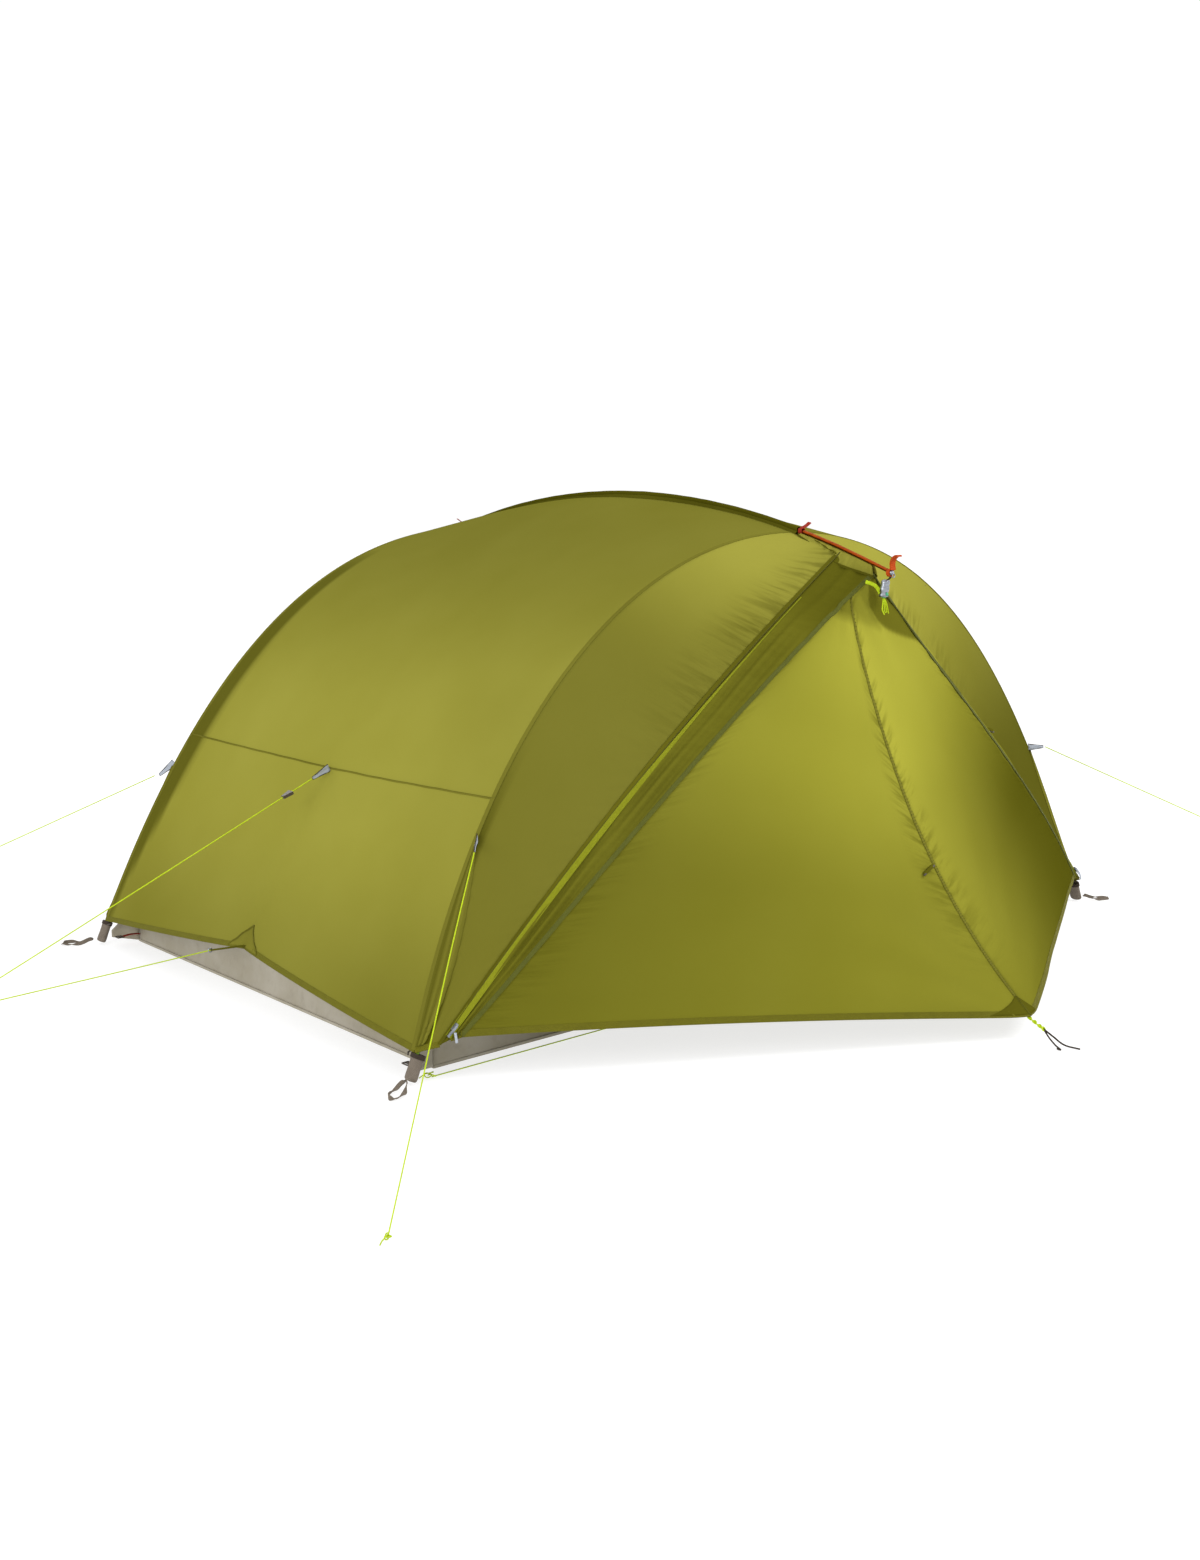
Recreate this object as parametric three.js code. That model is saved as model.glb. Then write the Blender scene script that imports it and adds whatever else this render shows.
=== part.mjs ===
// A pole-supported dome tent: two long arch poles, one ridge pole across them, an outer
// fly with a zipped vestibule on each long side, and an inner tent on a floor tub.
// Millimetres. Origin on the ground under the tent's centre, +X along the arches,
// -Y towards the front vestibule, +Z up.

import * as THREE from 'three';

// ---------- driving dimensions ----------
const poleRadius = 4.4;
const archHalfLength = 1143;
const archShoulder = [[1068, 174], [793, 1036]];
const archHeight = 1036;
const archFootY = 689;
const archLean = 0.136;
const archLeanCurve = 0.071e-3;
const ridgeHeight = 1137.5;
const ridgeCurve = 0.2113e-3;
const ridgeReach = 905;
const sheet = 2;
const roofGap = 10;
const apexCurve = [[1315, 50], [985, 310], [860, 947]];
const flyCornerHeight = 60;
const endSeamHeight = 520;
const zipFoot = [1096, 723, 78];
const zipTopY = 770;
const zipBow = 33;
const zipTapeWidth = 8;
const sliderWidth = 5.6;
const doorEdgeGap = 7.8;
const pipingCurve = [[1054, 736, 77], [762, 813, 388], [349, 794, 692], [0, 860, 957]];
const panelGap = 1;
const tubHalfLength = 1060;
const tubHalfWidth = 650;
const tubHeight = 118;
const floorThickness = 3;
const innerDrop = 45;
const innerWallFootY = 652;
const innerWallTopY = 592;
const innerDoorHalfWidth = 470;
const innerDoorBottom = 28;
const innerDoorTop = 690;
const guyDiameter = 2.5;
const guyTabHeight = 449;

const FRONT = -1;
const BACK = 1;
const LEFT = -1;
const RIGHT = 1;
const sideName = { [FRONT]: 'front', [BACK]: 'back' };
const endName = { [LEFT]: 'left', [RIGHT]: 'right' };

const tent = new THREE.Group();

// ---------- materials ----------
function finish(color, roughness, metalness) {
  return new THREE.MeshStandardMaterial({ color, roughness, metalness });
}
const flyFabric = () => finish(0x97953a, 0.55, 0);
const doorFabric = () => finish(0x8c892e, 0.55, 0);
const sleeveFabric = () => finish(0x5c5a1c, 0.6, 0);
const innerFabric = () => finish(0xc9c7b4, 0.8, 0);
const floorFabric = () => finish(0x8d867a, 0.5, 0);
const webbing = () => finish(0x8f867a, 0.8, 0);
const orangeWebbing = () => finish(0xb8431a, 0.7, 0);
const greenPole = () => finish(0x7fa33a, 0.3, 0.6);
const orangePole = () => finish(0xb05a24, 0.3, 0.6);
const silver = () => finish(0xb9bcc0, 0.35, 0.7);
const darkPlastic = () => finish(0x2c2a26, 0.5, 0);
const neonCord = () => finish(0xc8dc3c, 0.7, 0);

// ---------- small tools ----------
const lerp = THREE.MathUtils.lerp;
const vec = (x, y, z) => new THREE.Vector3(x, y, z);

function addNode(name, geometry, material) {
  const mesh = new THREE.Mesh(geometry, material);
  mesh.name = name;
  tent.add(mesh);
  return mesh;
}

// Turns a closed indexed body inside out when its volume comes out negative.
function faceOut(geometry) {
  const p = geometry.attributes.position;
  const index = geometry.index.array;
  const [a, b, c] = [vec(), vec(), vec()];
  let volume = 0;
  for (let i = 0; i < index.length; i += 3) {
    a.fromBufferAttribute(p, index[i]);
    b.fromBufferAttribute(p, index[i + 1]);
    c.fromBufferAttribute(p, index[i + 2]);
    volume += a.dot(b.cross(c));
  }
  if (volume < 0) {
    for (let i = 0; i < index.length; i += 3) [index[i], index[i + 1]] = [index[i + 1], index[i]];
  }
  return geometry;
}

function indexed(positions, faces) {
  const geometry = new THREE.BufferGeometry();
  geometry.setAttribute('position', new THREE.Float32BufferAttribute(positions, 3));
  geometry.setIndex(faces);
  return faceOut(geometry);
}

// A fabric panel: the surface pointAt(s, w) for s and w from 0 to 1, given a thickness.
function panel(pointAt, rows, columns, thickness = sheet) {
  const middle = [];
  for (let i = 0; i <= rows; i++) {
    middle.push([]);
    for (let j = 0; j <= columns; j++) middle[i].push(pointAt(i / rows, j / columns));
  }
  const positions = [];
  const normalAt = (i, j) => {
    const along = middle[Math.min(i + 1, rows)][j].clone().sub(middle[Math.max(i - 1, 0)][j]);
    const across = middle[i][Math.min(j + 1, columns)].clone().sub(middle[i][Math.max(j - 1, 0)]);
    return along.cross(across).normalize();
  };
  for (const face of [0.5, -0.5]) {
    for (let i = 0; i <= rows; i++) {
      for (let j = 0; j <= columns; j++) {
        const p = middle[i][j].clone().addScaledVector(normalAt(i, j), face * thickness);
        positions.push(p.x, p.y, p.z);
      }
    }
  }
  const stride = columns + 1;
  const under = (rows + 1) * stride;
  const faces = [];
  const quad = (a, b, c, d) => faces.push(a, b, c, a, c, d);
  for (let i = 0; i < rows; i++) {
    for (let j = 0; j < columns; j++) {
      const k = i * stride + j;
      quad(k, k + stride, k + stride + 1, k + 1);
      quad(under + k, under + k + 1, under + k + stride + 1, under + k + stride);
    }
  }
  for (let j = 0; j < columns; j++) {
    const top = rows * stride + j;
    quad(j, j + 1, under + j + 1, under + j);
    quad(top + 1, top, under + top, under + top + 1);
  }
  for (let i = 0; i < rows; i++) {
    const left = i * stride;
    const right = left + columns;
    quad(left + stride, left, under + left, under + left + stride);
    quad(right, right + stride, under + right + stride, under + right);
  }
  return indexed(positions, faces);
}

function circle(radius, sides = 8) {
  const shape = new THREE.Shape();
  for (let i = 0; i < sides; i++) {
    const angle = (2 * Math.PI * i) / sides;
    const x = radius * Math.cos(angle);
    const y = radius * Math.sin(angle);
    if (i === 0) shape.moveTo(x, y);
    else shape.lineTo(x, y);
  }
  shape.closePath();
  return shape;
}

// A slot outline: straight sides with a half circle at each end, centred on the origin.
function slot(length, width) {
  const shape = new THREE.Shape();
  const r = width / 2;
  const run = length / 2 - r;
  shape.absarc(run, 0, r, -Math.PI / 2, Math.PI / 2, false);
  shape.absarc(-run, 0, r, Math.PI / 2, 1.5 * Math.PI, false);
  shape.closePath();
  return shape;
}

function rectangle(width, height) {
  const shape = new THREE.Shape();
  shape.moveTo(-width / 2, -height / 2);
  shape.lineTo(width / 2, -height / 2);
  shape.lineTo(width / 2, height / 2);
  shape.lineTo(-width / 2, height / 2);
  shape.closePath();
  return shape;
}

function sweep(shape, points, steps) {
  const path = points.length === 2
    ? new THREE.LineCurve3(points[0], points[1])
    : new THREE.CatmullRomCurve3(points, false, 'centripetal');
  const options = { steps, curveSegments: 5, bevelEnabled: false, extrudePath: path };
  return new THREE.ExtrudeGeometry(shape, options);
}

const rod = (points, radius, steps) => sweep(circle(radius), points, steps);

function plate(shape, thickness) {
  return new THREE.ExtrudeGeometry(shape, { depth: thickness, curveSegments: 5, bevelEnabled: false });
}

function box(width, depth, height) {
  return new THREE.BoxGeometry(width, depth, height);
}

// ---------- pole curves ----------
function bezier(points, u) {
  const v = 1 - u;
  const weight = [v ** 3, 3 * v * v * u, 3 * v * u * u, u ** 3];
  return points[0].map((_, axis) => points.reduce((sum, p, i) => sum + weight[i] * p[axis], 0));
}

const archOutline = [[archHalfLength, 0], ...archShoulder, [0, archHeight]];
const archHalfWidth = (z) => archFootY - archLean * z + archLeanCurve * z * z;

// A point of an arch pole; t runs from -1 at the left foot through 0 at the top to 1.
function archPoint(t, side) {
  const [x, z] = bezier(archOutline, 1 - Math.abs(t));
  return vec(Math.sign(t) * x, side * archHalfWidth(z), z);
}

// The same point moved away from the tent's inside, square to the pole in its own plane.
function archOffset(t, side, distance, outward = 0) {
  const point = archPoint(t, side);
  const before = archPoint(Math.max(t - 0.01, -1), side);
  const after = archPoint(Math.min(t + 0.01, 1), side);
  const normal = vec(before.z - after.z, 0, after.x - before.x).normalize();
  point.addScaledVector(normal, distance);
  point.y += side * outward;
  return point;
}

function archParameter(height) {
  let low = 0;
  let high = 1;
  for (let i = 0; i < 40; i++) {
    const middle = (low + high) / 2;
    if (bezier(archOutline, 1 - middle)[1] > height) low = middle;
    else high = middle;
  }
  return (low + high) / 2;
}

const ridgeZ = (y) => ridgeHeight - ridgeCurve * y * y;

// The seam that lies over an arch pole, where roof and side panels meet.
function archSeam(t, side) {
  const low = 1 - archPoint(t, side).z / archHeight;
  return archOffset(t, side, 9 + 2 * low, 5 * low);
}

// ---------- poles and their fittings ----------
const archFirst = -archParameter(9);
const ridgePoint = (t) => vec(0, t * ridgeReach, ridgeZ(t * ridgeReach));
const ridgeEnd = 0.995;

function pole(pointAt, first, steps) {
  const points = [];
  for (let i = 0; i <= steps; i++) points.push(pointAt(lerp(first, -first, i / steps)));
  return rod(points, poleRadius, 2 * steps);
}
for (const side of [FRONT, BACK]) {
  addNode(`${sideName[side]}_arch_pole`, pole((t) => archPoint(t, side), archFirst, 20), greenPole());
}
addNode('ridge_pole', pole(ridgePoint, -ridgeEnd, 12), orangePole());

// A webbing cup that takes the pole's foot.
function footPocket() {
  const profile = [[0, 0], [17, 0], [17.5, 54], [15.8, 54], [15.3, 2], [0, 2]];
  const cup = new THREE.LatheGeometry(profile.map(([x, y]) => new THREE.Vector2(x, y)), 12);
  return cup.rotateX(Math.PI / 2).scale(0.55, 1, 1);
}

function loop(length, width, strand, thickness) {
  const shape = slot(length, width);
  shape.holes.push(slot(length - 2 * strand, width - 2 * strand));
  return plate(shape, thickness);
}

// Strap from the tub's corner with a ladder-lock buckle at its outer end.
function cornerStrap(end) {
  const strapLength = 46;
  const buckleLength = 17;
  const outline = [
    [0, -6], [strapLength, -6], [strapLength, -9], [strapLength + buckleLength, -9],
    [strapLength + buckleLength, 9], [strapLength, 9], [strapLength, 6], [0, 6],
  ];
  const shape = new THREE.Shape(outline.map(([x, y]) => new THREE.Vector2(x, y)));
  const strap = plate(shape, 3);
  return end === LEFT ? strap.rotateZ(Math.PI) : strap;
}

const footTilt = Math.atan2(archHalfLength - archShoulder[0][0], archShoulder[0][1]);
for (const side of [FRONT, BACK]) {
  for (const end of [LEFT, RIGHT]) {
    const name = `${sideName[side]}_${endName[end]}`;
    const foot = vec(end * (archHalfLength + 1), side * (archFootY + 0.5), 5);
    const pocket = footPocket().rotateY(-end * footTilt).translate(foot.x, foot.y, foot.z);
    addNode(`${name}_foot_pocket`, pocket, webbing());

    const away = Math.atan2(side * 52, end * 78);
    const stakeLoop = loop(74, 24, 5.5, 3).rotateZ(away);
    stakeLoop.translate(foot.x + 58 * Math.cos(away), foot.y + 58 * Math.sin(away), 0.3);
    addNode(`${name}_stake_loop`, stakeLoop, webbing());

    const strap = cornerStrap(end).translate(end * (tubHalfLength + 1), side * 641, 20);
    addNode(`${name}_corner_strap`, strap, webbing());
  }
}

// ---------- fly ----------
const hemT = archParameter(flyCornerHeight);
const seamT = archParameter(endSeamHeight);

// The fly between the arches. t runs along the arches and v from -1 (front) to 1 (back).
function roofPoint(t, v) {
  const front = archSeam(t, FRONT);
  const back = archSeam(t, BACK);
  const point = front.lerp(back, (v + 1) / 2);
  const crown = ridgeHeight - roofGap - archSeam(0, FRONT).z;
  const nearRidge = Math.exp(-((point.x / 330) ** 2));
  const low = 1 - point.z / archHeight;
  const pull = Math.max(0, 1 - point.z / endSeamHeight);
  const lift = crown * nearRidge - 22 * (1 - nearRidge) + 62 * pull * pull;
  const outward = vec(Math.sign(t) * Math.min(1, 1.4 * low), 0, 1 - 0.8 * low).normalize();
  return point.addScaledVector(outward, lift * (1 - v * v));
}

// Lower edge of an end panel: higher in the middle, where the hem cord pulls.
const hemHeight = (v) => flyCornerHeight + 62 * (1 - Math.abs(v) ** 0.9);

const edgeV = 1 - panelGap / archFootY;
const roofAt = (s, w) => roofPoint(lerp(-seamT, seamT, s), lerp(-edgeV, edgeV, w));
addNode('fly_roof', panel(roofAt, 36, 8), flyFabric());
for (const end of [LEFT, RIGHT]) {
  const endPoint = (s, w) => {
    const v = lerp(-edgeV, edgeV, w);
    const t = lerp(archParameter(hemHeight(v)), seamT + 0.0012, s);
    return roofPoint(end * t, v);
  };
  addNode(`${endName[end]}_end_panel`, panel(endPoint, 7, 8), flyFabric());
}

// Fabric channel on top of the roof that holds the ridge pole between the arches.
const sleeveReach = 596;
const sleeveShape = circle(7.2, 10);
sleeveShape.holes.push(circle(5.9, 10));
const sleevePath = [];
for (let k = -8; k <= 8; k++) sleevePath.push(ridgePoint((k / 8) * (sleeveReach / ridgeReach)));
addNode('ridge_sleeve', sweep(sleeveShape, sleevePath, 16), sleeveFabric());

// Zip line of a side: a shallow circular arc from the hem corner to the ridge line.
function zipArc(side, end) {
  const foot = vec(end * zipFoot[0], side * zipFoot[1], zipFoot[2]);
  const top = vec(end * 8, side * zipTopY, ridgeZ(zipTopY) - roofGap);
  const chord = top.clone().sub(foot);
  const half = chord.length() / 2;
  const along = chord.clone().normalize();
  const outward = vec(0, side, 0);
  const up = vec(end * 0.65, 0, 0.76);
  up.addScaledVector(along, -up.dot(along)).normalize();
  const radius = (half * half) / (2 * zipBow) + zipBow / 2;
  const centre = foot.clone().add(top).multiplyScalar(0.5).addScaledVector(up, zipBow - radius);
  const sweepAngle = Math.asin(half / radius);
  const pointAt = (s) => {
    const angle = lerp(-sweepAngle, sweepAngle, s);
    return centre.clone()
      .addScaledVector(up, radius * Math.cos(angle))
      .addScaledVector(along, radius * Math.sin(angle));
  };
  return { pointAt, along, outward };
}

// Centre line of a vestibule, from the stake to just under the ridge tip.
function apexPoint(s, side) {
  const u = 1 - s;
  const weight = [u * u, 2 * u * s, s * s];
  const [y, z] = [0, 1].map((axis) => apexCurve.reduce((sum, p, i) => sum + weight[i] * p[axis], 0));
  return vec(0, side * y, z);
}

function sidePanelPoint(s, w, side, end, zip) {
  const t = end * lerp(hemT, 0.0008, s);
  const start = archSeam(t, side);
  start.y += side * panelGap * 1.5;
  const finish = zip.pointAt(s);
  const tape = finish.clone().sub(start).normalize();
  finish.addScaledVector(tape, -zipTapeWidth / 2 - 1);
  finish.x = end * Math.max(end * finish.x, 1);
  start.x = end * Math.max(end * start.x, 1);
  return start.lerp(finish, w);
}

// Vestibule panel from the zip line to the centre line. A narrow band slants outward from the
// zip to a piped edge, and the door's field runs on from there.
const bandColumns = 2;
const doorColumns = 9;
function doorPoint(s, w, side, end, zip) {
  const edge = zip.pointAt(s);
  const [x, y, z] = bezier(pipingCurve, s);
  const piping = vec(end * x, side * y, z);
  edge.addScaledVector(piping.clone().sub(edge).normalize(), doorEdgeGap);
  const bandShare = bandColumns / doorColumns;
  const across = (w - bandShare) / (1 - bandShare);
  const point = across <= 0
    ? edge.lerp(piping, w / bandShare)
    : doorField(piping, apexPoint(s, side), s, across);
  point.z += 18 * (1 - s) ** 8 * 4 * w * (1 - w);
  point.x = end * Math.max(end * point.x, 1.5);
  return point;
}

// Field of the door: straight rulings, rounded over near the centre line at mid height.
function doorField(piping, apex, s, across) {
  const rounding = 0.02 + 0.26 * Math.sin(Math.PI * Math.min(1, s));
  const away = 1 - across;
  const bend = (Math.hypot(away, rounding) - rounding) / (Math.hypot(1, rounding) - rounding);
  const point = piping.clone().lerp(apex, across);
  point.y = lerp(apex.y, piping.y, bend);
  return point;
}

// Slider with its pull tab, built around the foot end of the zip.
function zipSlider(zip) {
  const outline = [[-8, 4.4], [8, 4.4], [8, 9.4], [4, 9.4], [4, 11.6], [-24, 11.6], [-24, 10], [-8, 9.4]];
  const shape = new THREE.Shape(outline.map(([x, y]) => new THREE.Vector2(x, y)));
  const across = zip.along.clone().cross(zip.outward);
  const frame = new THREE.Matrix4().makeBasis(zip.along, zip.outward, across);
  const rest = zip.pointAt(0.03);
  const slider = plate(shape, sliderWidth).translate(0, 0, -sliderWidth / 2).applyMatrix4(frame);
  return slider.translate(rest.x, rest.y, rest.z);
}

for (const side of [FRONT, BACK]) {
  for (const end of [LEFT, RIGHT]) {
    const name = `${sideName[side]}_${endName[end]}`;
    const zip = zipArc(side, end);
    const sideAt = (s, w) => sidePanelPoint(s, w, side, end, zip);
    const doorAt = (s, w) => doorPoint(lerp(0, 0.985, s), w, side, end, zip);
    addNode(`${name}_side_panel`, panel(sideAt, 20, 3), flyFabric());
    addNode(`${name}_door`, panel(doorAt, 10, doorColumns), doorFabric());
    addNode(`${name}_zip_slider`, zipSlider(zip), silver());
  }
}

// ---------- ridge ends, awning hardware and stake straps ----------
// Ring round the ridge pole with a short pull tab on top.
function ridgeClip() {
  const outer = 8;
  const tabHalf = 4.5;
  const tabTop = 30;
  const start = Math.asin(tabHalf / outer);
  const shape = new THREE.Shape();
  shape.absarc(0, 0, outer, Math.PI / 2 + start, Math.PI / 2 - start, false);
  shape.lineTo(tabHalf, tabTop);
  shape.lineTo(-tabHalf, tabTop);
  shape.closePath();
  shape.holes.push(circle(6, 10));
  return plate(shape, 10);
}

for (const side of [FRONT, BACK]) {
  const name = sideName[side];
  const slope = Math.atan(2 * ridgeCurve * ridgeReach);
  const tip = ridgePoint(side);
  const lean = (geometry) => geometry.rotateX(-side * slope);

  const clipSlope = Math.atan(2 * ridgeCurve * 648);
  const clip = ridgeClip().rotateX(Math.PI / 2).translate(0, 5, 0).rotateX(-side * clipSlope);
  addNode(`${name}_ridge_clip`, clip.translate(0, side * 648, ridgeZ(648)), orangeWebbing());

  const cap = lean(new THREE.SphereGeometry(6.2, 10, 8)).translate(0, tip.y + side * 8, tip.z - 3.4);
  addNode(`${name}_ridge_cap`, cap, silver());

  const webTab = box(12, 2.4, 34).rotateX(-side * 0.42).translate(0, tip.y + side * 10, tip.z + 21);
  addNode(`${name}_awning_tab`, webTab, orangeWebbing());

  const buckleShape = slot(40, 15);
  const buckle = plate(buckleShape, 9).translate(0, 0, -4.5).rotateY(Math.PI / 2).rotateX(side * 0.15);
  buckle.translate(0, tip.y - side * 10, tip.z - 38);
  addNode(`${name}_awning_buckle`, buckle, silver());

  const drop = Math.asin(36 / 118);
  const strap = loop(118, 22, 5.5, 3).rotateZ(Math.PI / 2).rotateX(-side * drop);
  addNode(`${name}_stake_strap`, strap.translate(0, side * 1378, 21), webbing());
}

// ---------- inner tent ----------
// Waterproof tray: a flat base with upright walls, open at the top.
function floorTub() {
  const x = tubHalfLength;
  const y = tubHalfWidth;
  const corners = [[-x, -y], [x, -y], [x, y], [-x, y]];
  const rings = [
    corners.map(([a, b]) => [a, b, 0]),
    corners.map(([a, b]) => [a, b, tubHeight]),
    corners.map(([a, b]) => [a - Math.sign(a) * sheet, b - Math.sign(b) * sheet, tubHeight]),
    corners.map(([a, b]) => [a - Math.sign(a) * sheet, b - Math.sign(b) * sheet, floorThickness]),
  ];
  const faces = [0, 2, 1, 0, 3, 2];
  for (let r = 0; r < 3; r++) {
    for (let k = 0; k < 4; k++) {
      const next = (k + 1) % 4;
      const [a, b, c, d] = [4 * r + k, 4 * r + next, 4 * r + 4 + next, 4 * r + 4 + k];
      faces.push(a, b, c, a, c, d);
    }
  }
  faces.push(12, 13, 14, 12, 14, 15);
  return indexed(rings.flat(2), faces);
}
addNode('floor_tub', floorTub(), floorFabric());

// Inner roof: a tunnel that hangs below the arch poles and stands on the tub's end walls.
const innerT = archParameter(150);
const innerFoot = tubHeight + 1.5;
const innerY = (z) => lerp(innerWallFootY, innerWallTopY, (z - innerFoot) / (archHeight - innerFoot));
const innerArch = (t) => archOffset(t, FRONT, -innerDrop);
function innerCanopyPoint(s, w) {
  const t = lerp(-innerT, innerT, s);
  const point = innerArch(t);
  if (s === 0 || s === 1) {
    point.x = Math.sign(t) * (tubHalfLength - sheet);
    point.z = innerFoot + 1;
  }
  point.y = lerp(-1, 1, w) * (innerY(point.z) - 4);
  return point;
}
addNode('inner_canopy', panel(innerCanopyPoint, 22, 3), innerFabric());

// Inner end walls stand in a leaning plane, with a D-shaped doorway.
const wallLean = Math.atan2(innerWallFootY - innerWallTopY, archHeight - innerFoot);
function doorway(inset) {
  const half = innerDoorHalfWidth - inset;
  const low = innerDoorBottom + inset;
  const spring = 330;
  const top = innerDoorTop - inset;
  const shape = new THREE.Shape();
  shape.moveTo(half, low);
  shape.lineTo(half, spring);
  shape.bezierCurveTo(half, top - 60, half - 160, top, 0, top);
  shape.bezierCurveTo(-half + 160, top, -half, top - 60, -half, spring);
  shape.lineTo(-half, low);
  shape.closePath();
  return shape;
}
function wallOutline() {
  const shape = new THREE.Shape();
  const steps = 20;
  shape.moveTo(-tubHalfLength + sheet, 0);
  for (let i = 1; i < steps; i++) {
    const point = innerArch(lerp(-innerT, innerT, i / steps));
    shape.lineTo(point.x, (point.z - innerFoot) / Math.cos(wallLean));
  }
  shape.lineTo(tubHalfLength - sheet, 0);
  shape.closePath();
  return shape;
}
function uprightPlate(shape, side, thickness) {
  const body = new THREE.ExtrudeGeometry(shape, { depth: thickness, curveSegments: 6, bevelEnabled: false });
  body.translate(0, 0, -thickness / 2).rotateX(Math.PI / 2 + side * wallLean);
  return body.translate(0, side * innerWallFootY, innerFoot);
}
for (const side of [FRONT, BACK]) {
  const outline = wallOutline();
  outline.holes.push(doorway(0));
  addNode(`${sideName[side]}_inner_wall`, uprightPlate(outline, side, sheet), innerFabric());
  addNode(`${sideName[side]}_inner_door`, uprightPlate(doorway(3), side, sheet), innerFabric());
}

// ---------- guy lines ----------
// Each route is a taut line from its tab to its peg: on the ground, or 40 up at the peg's head.
const guyRoutes = {
  front_left_guy: [[-972, -676, 432], [-1169, -860, 292], [-1366, -1047, 147], [-1563, -1234, 2]],
  front_right_guy: [[978, -675, 455], [1240, -892, 303], [1501, -1109, 152], [1695, -1270, 40]],
  back_left_guy: [[-982, 677, 420], [-1222, 873, 280], [-1463, 1069, 140], [-1704, 1265, 2]],
  left_end_guy: [[-926, 0, 490], [-1296, 0, 326], [-1670, 0, 161], [-1952, 0, 40]],
  hem_cord: [[-1198, 0, 135], [-1390, 0, 127], [-1586, 0, 119.5], [-1772, 0, 112.3]],
  base_cord: [[-1090, -687, 1.7], [-360, -684, 1.7], [360, -684, 1.7], [1090, -687, 1.7]],
};
for (const [name, route] of Object.entries(guyRoutes)) {
  const points = route.map(([x, y, z]) => vec(x, y, z));
  addNode(name, rod(points, guyDiameter / 2, 12), neonCord());
}

// Reflective tabs that tie the guy lines to the seams.
function guyTab(root, outer) {
  const shape = new THREE.Shape();
  const length = root.distanceTo(outer);
  shape.moveTo(0, -10);
  shape.lineTo(length, -2.5);
  shape.lineTo(length, 2.5);
  shape.lineTo(0, 10);
  shape.closePath();
  const along = outer.clone().sub(root).normalize();
  const upright = vec(0, 0, 1).addScaledVector(along, -along.z).normalize();
  const across = along.clone().cross(upright);
  const frame = new THREE.Matrix4().makeBasis(along, upright, across);
  return plate(shape, 1.8).translate(0, 0, -0.9).applyMatrix4(frame).translate(root.x, root.y, root.z);
}
const tabT = archParameter(guyTabHeight);
for (const side of [FRONT, BACK]) {
  for (const end of [LEFT, RIGHT]) {
    const root = archSeam(end * tabT, side).addScaledVector(vec(end * 0.8, side * 0.6, 0), 14);
    const route = guyRoutes[`${sideName[side]}_${endName[end]}_guy`];
    const outer = vec(end * 970, side * 673.5, route ? route[0][2] + 1 : guyTabHeight - 16);
    addNode(`${sideName[side]}_${endName[end]}_guy_tab`, guyTab(root, outer), silver());
  }
}
for (const end of [LEFT, RIGHT]) {
  const root = roofPoint(end * seamT, 0).add(vec(end * 12, 0, 0));
  const outer = vec(end * 924, 0, 491);
  addNode(`${endName[end]}_end_guy_tab`, guyTab(root, outer), silver());
}

// Line adjuster on the end guy: a wedge that the line runs through.
function lineAdjuster(from, to, distance) {
  const length = 24;
  const shape = rectangle(7, 20);
  shape.holes.push(circle(2.3, 8));
  const wedge = plate(shape, length);
  const p = wedge.attributes.position;
  for (let i = 0; i < p.count; i++) {
    const narrow = 1 - 0.55 * (p.getZ(i) / length);
    if (Math.abs(p.getY(i)) > 5) p.setY(i, p.getY(i) * narrow);
  }
  const along = to.clone().sub(from).normalize();
  wedge.applyQuaternion(new THREE.Quaternion().setFromUnitVectors(vec(0, 0, 1), along));
  const place = from.clone().addScaledVector(along, distance);
  return wedge.translate(place.x, place.y, place.z);
}
const [adjusterFrom, adjusterTo] = guyRoutes.left_end_guy.map(([x, y, z]) => vec(x, y, z));
addNode('left_line_adjuster', lineAdjuster(adjusterFrom, adjusterTo, 60), darkPlastic());

export default tent;
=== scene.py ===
# Dome tent with two vestibules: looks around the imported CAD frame, in metres.
import math
import random

import bmesh
import bpy
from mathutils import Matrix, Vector, noise


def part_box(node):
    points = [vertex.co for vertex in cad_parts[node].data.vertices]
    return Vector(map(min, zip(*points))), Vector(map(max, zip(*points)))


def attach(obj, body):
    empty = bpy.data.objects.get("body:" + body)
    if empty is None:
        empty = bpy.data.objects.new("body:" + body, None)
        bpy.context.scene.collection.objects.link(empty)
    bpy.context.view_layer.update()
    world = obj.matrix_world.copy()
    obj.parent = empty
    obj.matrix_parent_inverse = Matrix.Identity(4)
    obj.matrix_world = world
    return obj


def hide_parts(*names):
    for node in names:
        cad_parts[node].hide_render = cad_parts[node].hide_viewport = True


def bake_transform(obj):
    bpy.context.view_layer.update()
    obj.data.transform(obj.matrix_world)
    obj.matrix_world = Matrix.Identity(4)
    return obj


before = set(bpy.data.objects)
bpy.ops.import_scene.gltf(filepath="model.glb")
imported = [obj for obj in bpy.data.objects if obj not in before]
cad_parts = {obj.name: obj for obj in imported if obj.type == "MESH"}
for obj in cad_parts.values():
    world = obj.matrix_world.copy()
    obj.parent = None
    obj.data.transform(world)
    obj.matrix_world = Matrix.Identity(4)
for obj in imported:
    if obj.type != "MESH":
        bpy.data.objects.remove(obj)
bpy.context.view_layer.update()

random.seed(7)

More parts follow.
